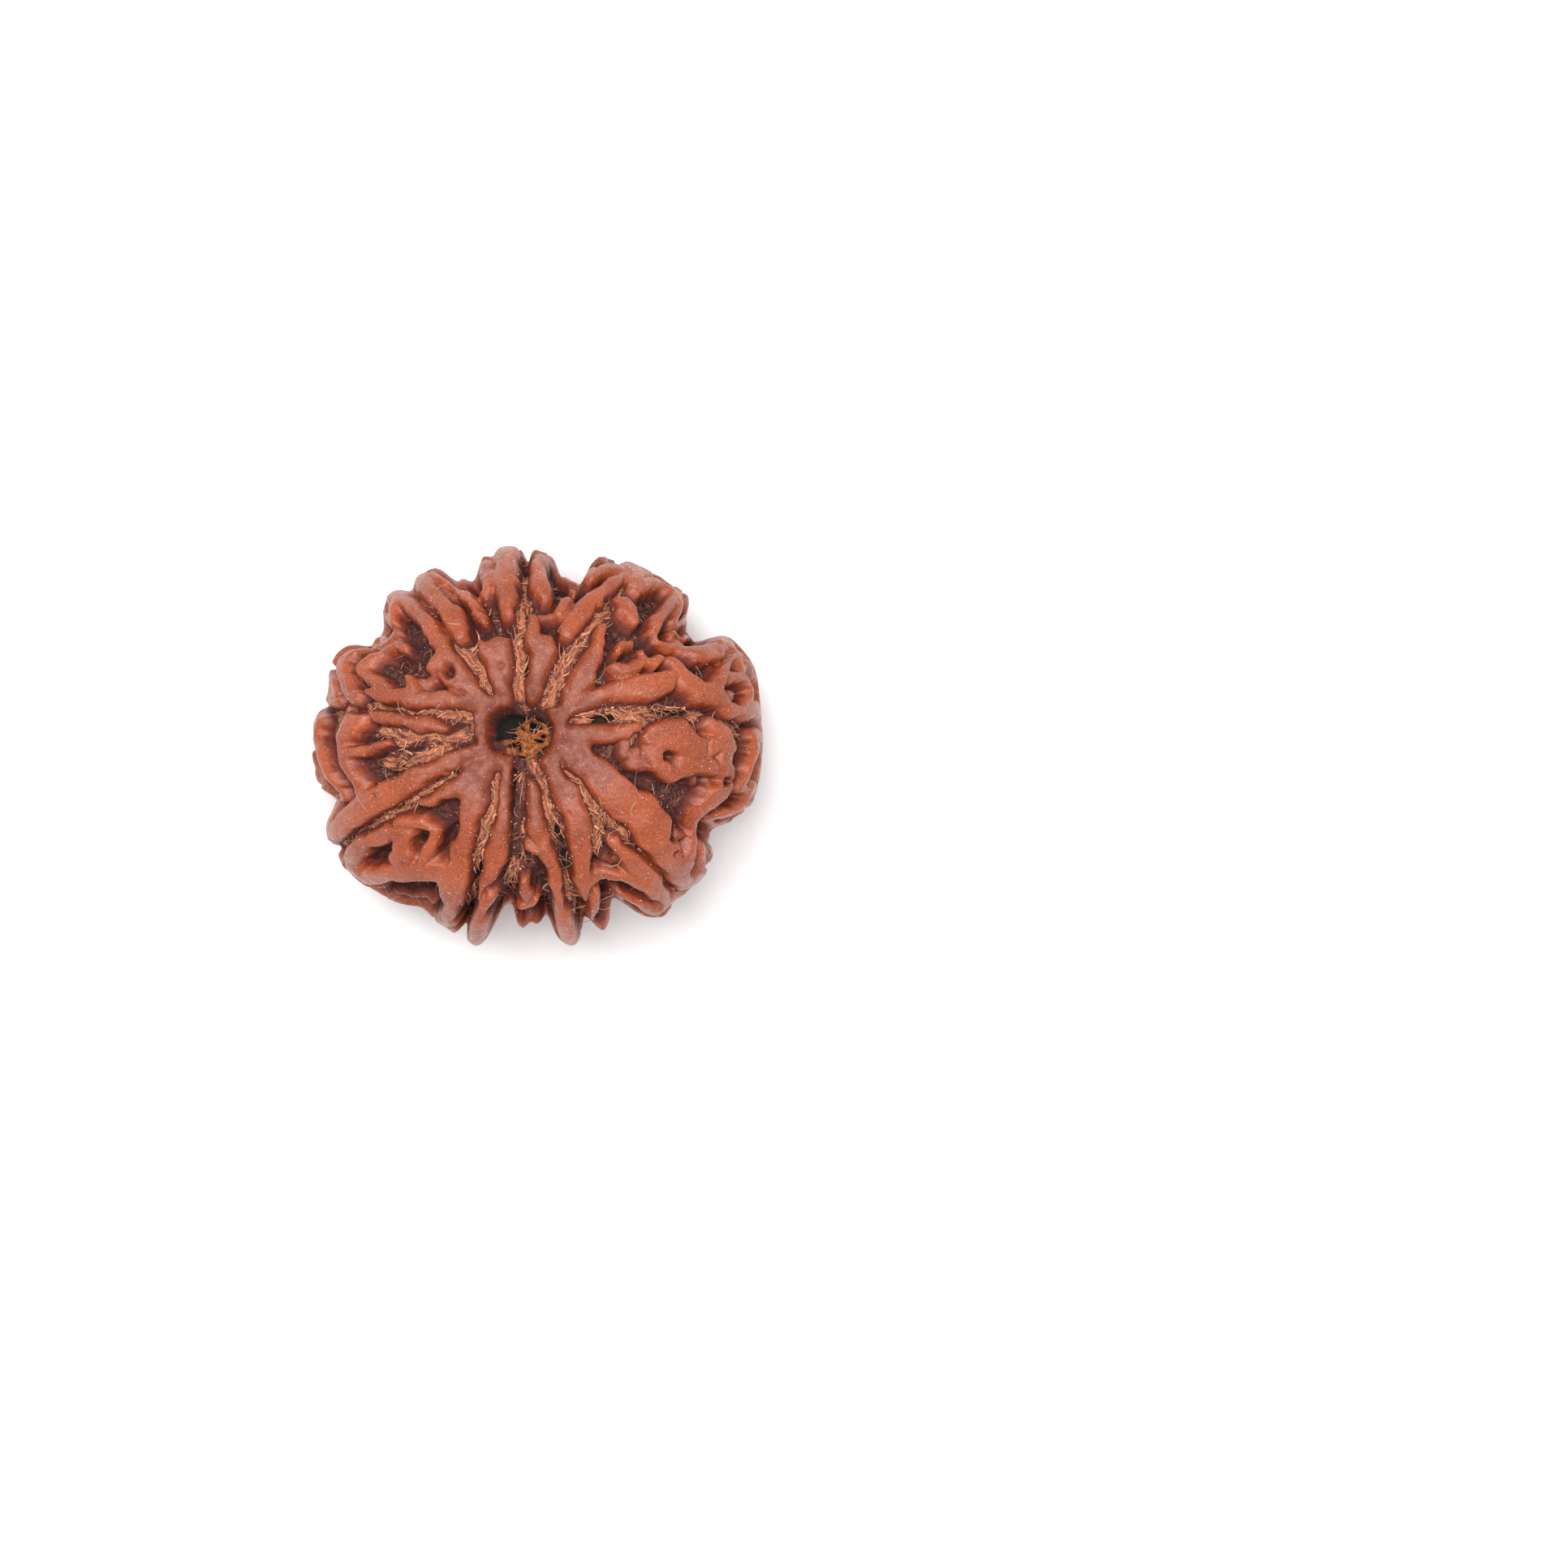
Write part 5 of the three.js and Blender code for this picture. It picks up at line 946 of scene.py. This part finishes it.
def seed_material():
    shade = Shader("seed_surface")
    place = shade.place()
    ridge = shade.attribute("ridge")
    cleft = shade.attribute("cleft")
    fibre = shade.attribute("fibre", "Vector")
    mottle = shade.noise(place, 2.2, 4)
    grain = shade.noise(place, 7.0, 3)
    tangle = shade.noise(place, 4.2, 4, 0.65)
    stretched = shade.node("Mapping")
    shade.feed(stretched.inputs["Vector"], fibre)
    stretched.inputs["Scale"].default_value = STRAND_STRETCH
    strands = shade.noise(stretched.outputs[0], 1.0, 5, 0.65)

    # Painted shade round the upper pit, where the tops face the lamps most; it also makes the skin duller
    # there
    painted_mouth_shade = shade.math("MULTIPLY", shade.attribute("painted_mouth_shade"), shade.span(mottle, 0.3, 0.7, 0.4, 0.8))
    # Dark purple-brown: stains, the ridge foot's dark rim with painted crease shade, painted pit shade
    rim_stain_and_shade = shade.mix(shade.span(grain, 0.35, 0.65), rgb(46, 13, 11), rgb(84, 28, 17))
    # Painted shade: the ridge walls darker than the tops
    flank = shade.mix(shade.span(mottle, 0.3, 0.7), rgb(118, 43, 23), rgb(92, 31, 18))
    shifted = shade.math("ADD", ridge, shade.span(mottle, 0.3, 0.7, -0.12, 0.12))
    tinge = shade.math("MULTIPLY", shade.attribute("stain"), shade.span(shifted, 0.5, 1.05, 0.85, 0))
    # Painted shade: near black in the deepest hollows and in the open slits
    painted_deep_shade = shade.math("MAXIMUM", shade.span(shade.attribute("sunk"), 1.5, 2.0),
                       shade.span(shade.attribute("split"), 0.3, 0.8))
    colour = shade.layers(
        floor_colour(shade, grain, tangle, strands, fibre, cleft),
        # The dark rim at the ridge foot, partly painted shade in the crease
        (shade.span(shifted, 0.05, 0.2), rim_stain_and_shade),
        # Painted shade on the ridge walls
        (shade.span(shifted, 0.22, 0.45), flank),
        (shade.span(shifted, 0.5, 0.85), skin_colour(shade, place, mottle, grain, painted_mouth_shade)),
        (tinge, rim_stain_and_shade),
        # Painted shade in the pits, darker where they are deeper
        (shade.span(shade.attribute("pitted"), 0.12, 0.5, 0, 0.85), rim_stain_and_shade),
        # Painted shade, near black, in the deepest hollows and the slits
        (shade.math("MULTIPLY", painted_deep_shade, 0.95), rgb(14, 9, 6)),
    )

    satin = shade.span(mottle, 0.3, 0.7, 0.3, 0.46)
    satin = shade.math("ADD", satin, shade.math("MULTIPLY", painted_mouth_shade, 0.2))
    rough = shade.math("MAXIMUM", satin, shade.span(ridge, 0.3, 0.8, 0.85, 0.26))
    skin_bump = shade.bump(shade.noise(place, 3.0, 6, 0.7), BUMP_HEIGHT, 0.55)
    floor_share = shade.span(ridge, 0.1, 0.5, 0.9, 0.0)
    rough_bump = shade.bump(shade.mix(cleft, tangle, strands), BUMP_HEIGHT, floor_share, skin_bump)
    return shade.finish(Base_Color=colour, Roughness=rough, Normal=rough_bump, Specular_IOR_Level=0.5,
                        Subsurface_Weight=0.12, Subsurface_Radius=(1.0, 0.35, 0.2), Subsurface_Scale=0.0004)


def strand_material(name, dark, light):
    shade = Shader(name)
    return shade.finish(Base_Color=shade.mix(shade.attribute("tone"), dark, light), Roughness=0.75)


def dust_material(name, colour):
    shade = Shader(name)
    tone = shade.noise(shade.place(), 3.0)
    varied = shade.mix(shade.span(tone, 0.3, 0.7, 0, 0.25), colour, rgb(200, 190, 180))
    return shade.finish(Base_Color=varied, Roughness=0.8)


def seed_body(directions, triangles, material):
    places, _ = surface(directions)
    fit = Fit(places)
    body = mesh_object("seed_surface", fit(places), triangles, material)
    thin = body.modifiers.new("thin", "DECIMATE")
    thin.ratio = BODY_TRIANGLES / len(triangles)
    bpy.context.view_layer.objects.active = body
    with bpy.context.temp_override(object=body, active_object=body):
        bpy.ops.object.modifier_apply(modifier=thin.name)
    return body, fit


def dress(body, fit):
    """Stores what the surface is at each of its points."""
    mesh = body.data
    places = np.empty(len(mesh.vertices) * 3, np.float32)
    mesh.vertices.foreach_get("co", places)
    drawn = (places.reshape(-1, 3) - fit.target) / fit.scale + fit.middle
    _, facts = surface(unit(drawn.astype(float)))
    crest = facts["crest"]
    sunk = np.linalg.norm(crest, axis=1) - np.linalg.norm(drawn, axis=1)
    from_mouth = np.hypot(crest[:, 0] - UPPER_PIT["x"], crest[:, 1] - UPPER_PIT["y"])
    stored = {name: facts[name] for name in ("plug", "fibre", "stain", "pitted")}
    stored["ridge"] = facts["ridge"] * (1 - smoothstep(facts["hole"], *HOLE_LIP))
    stored["cleft"] = smoothstep(facts["cleft"], *CLEFT_EDGE)
    stored["split"] = facts["split"] * (1 - facts["ridge"])
    stored["sunk"] = sunk
    # Painted shade: how much the tops round the upper pit are darkened
    stored["painted_mouth_shade"] = (1 - smoothstep(from_mouth, *PAINTED_SHADE_REACH)) * (crest[:, 2] > 0)
    for name, values in stored.items():
        set_attribute(mesh, name, values)


def tubes(starts, ways, ups, lengths, radii, curls, flatness):
    """Thin tubes that start at some places, run along some ways and arch upward and sideways."""
    sides = np.cross(ways, ups)
    rings = []
    for step in range(TUBE_STEPS + 1):
        share = step / TUBE_STEPS
        middle = starts + ways * (lengths * share)[:, None] + ups * (lengths * curls[:, 0] * share)[:, None]
        middle = middle + sides * (lengths * curls[:, 1] * math.sin(math.pi * share))[:, None]
        taper = radii * (1 - TUBE_TAPER * share)
        for corner in range(TUBE_SIDES):
            turn = 2 * math.pi * corner / TUBE_SIDES
            around = sides * math.cos(turn) * flatness[:, None] + ups * math.sin(turn)
            rings.append(middle + around * taper[:, None])
    places = np.stack(rings, axis=1).reshape(-1, 3)
    pattern = [(2, 1, 0)]
    for first in range(TUBE_SIDES * TUBE_STEPS):
        second = first + 1 if (first + 1) % TUBE_SIDES else first + 1 - TUBE_SIDES
        beyond = second + TUBE_SIDES
        pattern += [(first, second, beyond), (first, beyond, first + TUBE_SIDES)]
    end = TUBE_SIDES * TUBE_STEPS
    pattern.append((end, end + 1, end + 2))
    count = TUBE_SIDES * (TUBE_STEPS + 1)
    faces = np.array(pattern)[None] + (count * np.arange(len(starts)))[:, None, None]
    return places, faces.reshape(-1, 3).tolist(), count


def level_ways(directions, ways):
    """Ways turned to lie along the surface of a ball."""
    return unit(ways - np.einsum("ij,ij->i", ways, directions)[:, None] * directions)


def cleft_spots(rng, count):
    """Places in the clefts, with the way that each cleft runs there."""
    spots = []
    ways = []
    shares = np.array([line.lengths.sum() for line in CLEFTS])
    for index in rng.choice(len(CLEFTS), count, p=shares / shares.sum()):
        line = CLEFTS[index]
        part = rng.choice(len(line.lengths), p=line.lengths / line.lengths.sum())
        share = rng.uniform()
        way = line.points[part + 1] - line.points[part]
        spot = line.points[part] + share * way
        half_width = line.half_widths[part] + CLEFT_FIBRES["beyond"]
        aside = unit(np.cross(way, spot))
        spots.append(spot + aside * half_width * rng.uniform(-1, 1))
        ways.append(way)
    return unit(np.array(spots)), np.array(ways)


def random_ways(rng, count):
    return rng.normal(size=(count, 3))


def curls(rng, count, kind):
    """How far strands arch upward, and how far they sway to a side, as shares of their length."""
    return np.stack([rng.uniform(*kind["arch"], count), rng.normal(0, kind["sway"], count)], axis=1)


def strand_piece(name, fit, starts, ways, ups, lengths, radii, bends, tones, material, flatness=1.0):
    flatness = np.broadcast_to(flatness, len(starts))
    places, faces, count = tubes(starts, ways, ups, lengths, radii, bends, flatness)
    piece = mesh_object(name, fit(places), faces, material)
    set_attribute(piece.data, "tone", np.repeat(tones, count))


def either(rng, in_cleft, name):
    """Random values for each fibre, with the limits of those in the clefts or of those in the pits."""
    draws = [rng.uniform(*kind[name], len(in_cleft)) for kind in (CLEFT_FIBRES, PIT_FIBRES)]
    return np.where(in_cleft, *draws)


def fibres(fit, material):
    """Frayed fibres: along the clefts, and every way in the pits."""
    rng = np.random.default_rng(71)
    share = 1
    directions, ways = cleft_spots(rng, int(CLEFT_FIBRES["count"] * share))
    ways = unit(ways) + FIBRES["astray"] * random_ways(rng, len(ways))
    loose = unit(random_ways(rng, int(PIT_FIBRES["count"] * share)))
    directions = np.concatenate([directions, loose])
    ways = np.concatenate([ways, random_ways(rng, len(loose))])
    places, facts = surface(directions)
    in_cleft = np.arange(len(directions)) < len(directions) - len(loose)
    sunk = np.linalg.norm(facts["crest"], axis=1) - np.linalg.norm(places, axis=1)
    keep = np.all([facts[name] < most for name, most in FIBRE_LIMITS.items()], axis=0)
    keep &= (facts["stain"] < STAIN_LIMIT) | (rng.uniform(size=len(places)) < FIBRES["stained"])
    keep &= places[:, 2] > fit.lowest + CLEAR_OF_FLOOR
    keep &= in_cleft | ((sunk > PIT_FIBRES["least_depth"]) & (facts["cleft"] < PIT_FIBRES["most_cleft"]))
    directions, ways, places, in_cleft = directions[keep], ways[keep], places[keep], in_cleft[keep]
    count = len(places)
    ways = level_ways(directions, ways)
    lengths = either(rng, in_cleft, "lengths")
    radii = rng.uniform(*FIBRES["radii"], count)
    bends = curls(rng, count, FIBRES)
    tones = either(rng, in_cleft, "tones")
    flat = rng.uniform(size=count) < FIBRES["flat"]
    flatness = np.where(flat, rng.uniform(*FIBRES["flatness"], count), 1.0)
    strand_piece("fibres", fit, places, ways, directions, lengths, radii, bends, tones, material, flatness)


def plug_fibres(fit, material):
    """The golden fibres of the plug in the upper pit, pointing outward from its middle."""
    rng = np.random.default_rng(72)
    count = PLUG_FIBRES["count"]
    turn = rng.uniform(0, 2 * math.pi, count)
    away = rng.uniform(*PLUG_FIBRES["reach"], count)
    x = PLUG["x"] + away * np.cos(turn)
    y = PLUG["y"] + away * np.sin(turn)
    directions = unit(np.array([crest_over(*spot) for spot in zip(x, y)]))
    places, facts = surface(directions)
    keep = (facts["plug"] > PLUG_FIBRES["least_plug"]) & (facts["stain"] < PLUG_FIBRES["most_stain"])
    outward = np.stack([np.cos(turn), np.sin(turn), np.zeros(count)], axis=1)
    outward += PLUG_FIBRES["astray"] * random_ways(rng, count)
    directions, places, outward = directions[keep], places[keep], outward[keep]
    count = len(places)
    bends = curls(rng, count, PLUG_FIBRES)
    lengths = rng.uniform(*PLUG_FIBRES["lengths"], count)
    radii = rng.uniform(*PLUG_FIBRES["radii"], count)
    strand_piece("plug_fibres", fit, places, level_ways(directions, outward), directions, lengths, radii,
                 bends, rng.uniform(0, 1, count), material)


def lint(fit, material):
    """A few long pale hairs that lie on the seed."""
    rng = np.random.default_rng(73)
    count = LINT["count"]
    directions = unit(random_ways(rng, count))
    directions[:, 2] = np.maximum(directions[:, 2], LINT["lowest"])
    directions = unit(directions)
    places, _ = surface(directions)
    bends = curls(rng, count, LINT)
    ways = level_ways(directions, random_ways(rng, count))
    lengths = rng.uniform(*LINT["lengths"], count)
    radii = rng.uniform(*LINT["radii"], count)
    tones = rng.uniform(0, 1, count)
    strand_piece("lint", fit, places, ways, directions, lengths, radii, bends, tones, material)


def dust(fit, material):
    """Specks of pale dust, each an uneven eight-sided grain."""
    rng = np.random.default_rng(74)
    directions = unit(random_ways(rng, DUST["count"]))
    places, facts = surface(directions)
    shown = (facts["hole"] < DUST["most_hole"]) & (places[:, 2] > fit.lowest + CLEAR_OF_FLOOR)
    places, directions = places[shown], directions[shown]
    count = len(places)
    corners = np.array([[1, 0, 0], [-1, 0, 0], [0, 1, 0], [0, -1, 0], [0, 0, 1], [0, 0, -1]])
    sides = [(0, 2, 4), (2, 1, 4), (1, 3, 4), (3, 0, 4), (2, 0, 5), (1, 2, 5), (3, 1, 5), (0, 3, 5)]
    sizes = rng.uniform(*DUST["sizes"], (count, 1, 1)) * rng.uniform(*DUST["corners"], (count, 6, 1))
    grains = places[:, None] + corners[None] * sizes + directions[:, None] * DUST["raised"]
    faces = np.array(sides)[None] + (6 * np.arange(count))[:, None, None]
    mesh_object("dust", fit(grains.reshape(-1, 3)), faces.reshape(-1, 3).tolist(), material)


def area_light(name, place, size, power, target):
    light = bpy.data.lights.new(name, "AREA")
    light.shape = "DISK"
    light.size = size
    light.energy = power
    lamp = bpy.data.objects.new(name, light)
    lamp.location = place
    lamp.rotation_euler = (Vector(target) - Vector(place)).to_track_quat("-Z", "Y").to_euler()
    bpy.context.scene.collection.objects.link(lamp)


def stage():
    mesh = bpy.data.meshes.new("floor")
    corners = [(x * FLOOR_REACH, y * FLOOR_REACH, 0) for x, y in ((-1, -1), (1, -1), (1, 1), (-1, 1))]
    mesh.from_pydata(corners, [], [(0, 1, 2, 3)])
    shade = Shader("pale_floor")
    mesh.materials.append(shade.finish(Base_Color=(0.92, 0.92, 0.92, 1), Roughness=0.9))
    floor = bpy.data.objects.new("floor", mesh)
    bpy.context.scene.collection.objects.link(floor)

    world = bpy.data.worlds.new("studio")
    world.use_nodes = True
    world.node_tree.nodes["Background"].inputs["Color"].default_value = (1, 1, 1, 1)
    world.node_tree.nodes["Background"].inputs["Strength"].default_value = WORLD_STRENGTH
    bpy.context.scene.world = world
    for name, place, size, power in LIGHTS:
        area_light(name, place, size, power, (0, 0, WIDEST_LEVEL))
    bpy.context.scene.view_settings.view_transform = "Standard"


def camera():
    """Straight down on the upper pole from far off, aimed so that the seed stands left of the middle."""
    lens = bpy.data.cameras.new("camera")
    lens.sensor_width = SENSOR_WIDTH
    lens.lens = SENSOR_WIDTH * CAMERA_HEIGHT / FRAME_WIDTH
    lens.clip_start = 0.01
    lens.clip_end = 10
    eye = bpy.data.objects.new("camera", lens)
    eye.location = (*FRAME_MIDDLE, CAMERA_HEIGHT + WIDEST_LEVEL)
    bpy.context.scene.collection.objects.link(eye)
    bpy.context.scene.camera = eye


# The photograph's frame, from the seed's outline in it
PHOTO_SIDE = 1932
OUTLINE_MIDDLE = (662, 919)
OUTLINE_WIDTH = 556
SEED_LENGTH = 27 * MM
PIXEL = SEED_LENGTH / OUTLINE_WIDTH
FRAME_WIDTH = PHOTO_SIDE * PIXEL
FRAME_MIDDLE = ((PHOTO_SIDE / 2 - OUTLINE_MIDDLE[0]) * PIXEL, (OUTLINE_MIDDLE[1] - PHOTO_SIDE / 2) * PIXEL)
CAMERA_HEIGHT = 0.7
WIDEST_LEVEL = 9 * MM
SENSOR_WIDTH = 36.0

# The finished surface
SUBDIVISIONS = 8
BODY_TRIANGLES = 196000
HOLE_LIP = (0.02, 0.3)
CLEFT_EDGE = (0.2, 0.8)
# How far the painted shade round the upper pit reaches
PAINTED_SHADE_REACH = (2.0, 8.5)
STRAND_STRETCH = (8.0, 1.0, 1.0)
BUMP_HEIGHT = 0.00012

# Strands and dust. A pair is the least and most of a random draw, and tones run from dark, 0, to light, 1
TUBE_STEPS = 4
TUBE_SIDES = 3
TUBE_TAPER = 0.6
CLEAR_OF_FLOOR = 0.7
STAIN_LIMIT = 0.5
FIBRE_LIMITS = {"ridge": 0.45, "split": 0.4, "hole": 0.05}
FIBRES = {"astray": 0.45, "radii": (0.014, 0.042), "arch": (-0.02, 0.22), "sway": 0.16, "stained": 0.2,
          "flat": 0.35, "flatness": (2.0, 4.0)}
CLEFT_FIBRES = {"count": 7000, "lengths": (0.35, 1.4), "tones": (0.25, 1.0), "beyond": 0.12}
PIT_FIBRES = {"count": 9000, "lengths": (0.25, 0.8), "tones": (0.0, 0.75), "least_depth": 0.7,
              "most_cleft": 0.3}
PLUG_FIBRES = {"count": 170, "reach": (0.1, 1.5), "least_plug": 0.4, "most_stain": 0.4, "astray": 0.4,
               "arch": (-0.02, 0.35), "sway": 0.12, "lengths": (0.15, 0.45), "radii": (0.02, 0.05)}
LINT = {"count": 220, "lowest": -0.6, "arch": (0.05, 0.2), "sway": 0.3, "lengths": (0.6, 2.0),
        "radii": (0.010, 0.016)}
DUST = {"count": 2600, "most_hole": 0.3, "sizes": (0.016, 0.05), "corners": (0.5, 1.2), "raised": 0.02}

# The studio. Each light is its name, place, size and power
FLOOR_REACH = 2
WORLD_STRENGTH = 0.38
LIGHTS = (("key", (-0.07, 0.1, 0.5), 0.28, 2.85), ("fill", (0.1, -0.06, 0.5), 0.34, 1.2))

body, fit = seed_body(*unit_sphere(), seed_material())
dress(body, fit)
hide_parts("seed")
fibres(fit, strand_material("tan_fibre", rgb(104, 44, 34), rgb(224, 152, 114)))
plug_fibres(fit, strand_material("golden_fibre", rgb(112, 54, 24), rgb(196, 122, 64)))
lint(fit, strand_material("pale_hair", rgb(196, 178, 160), rgb(232, 224, 214)))
dust(fit, dust_material("pale_dust", rgb(226, 206, 190)))
stage()
camera()
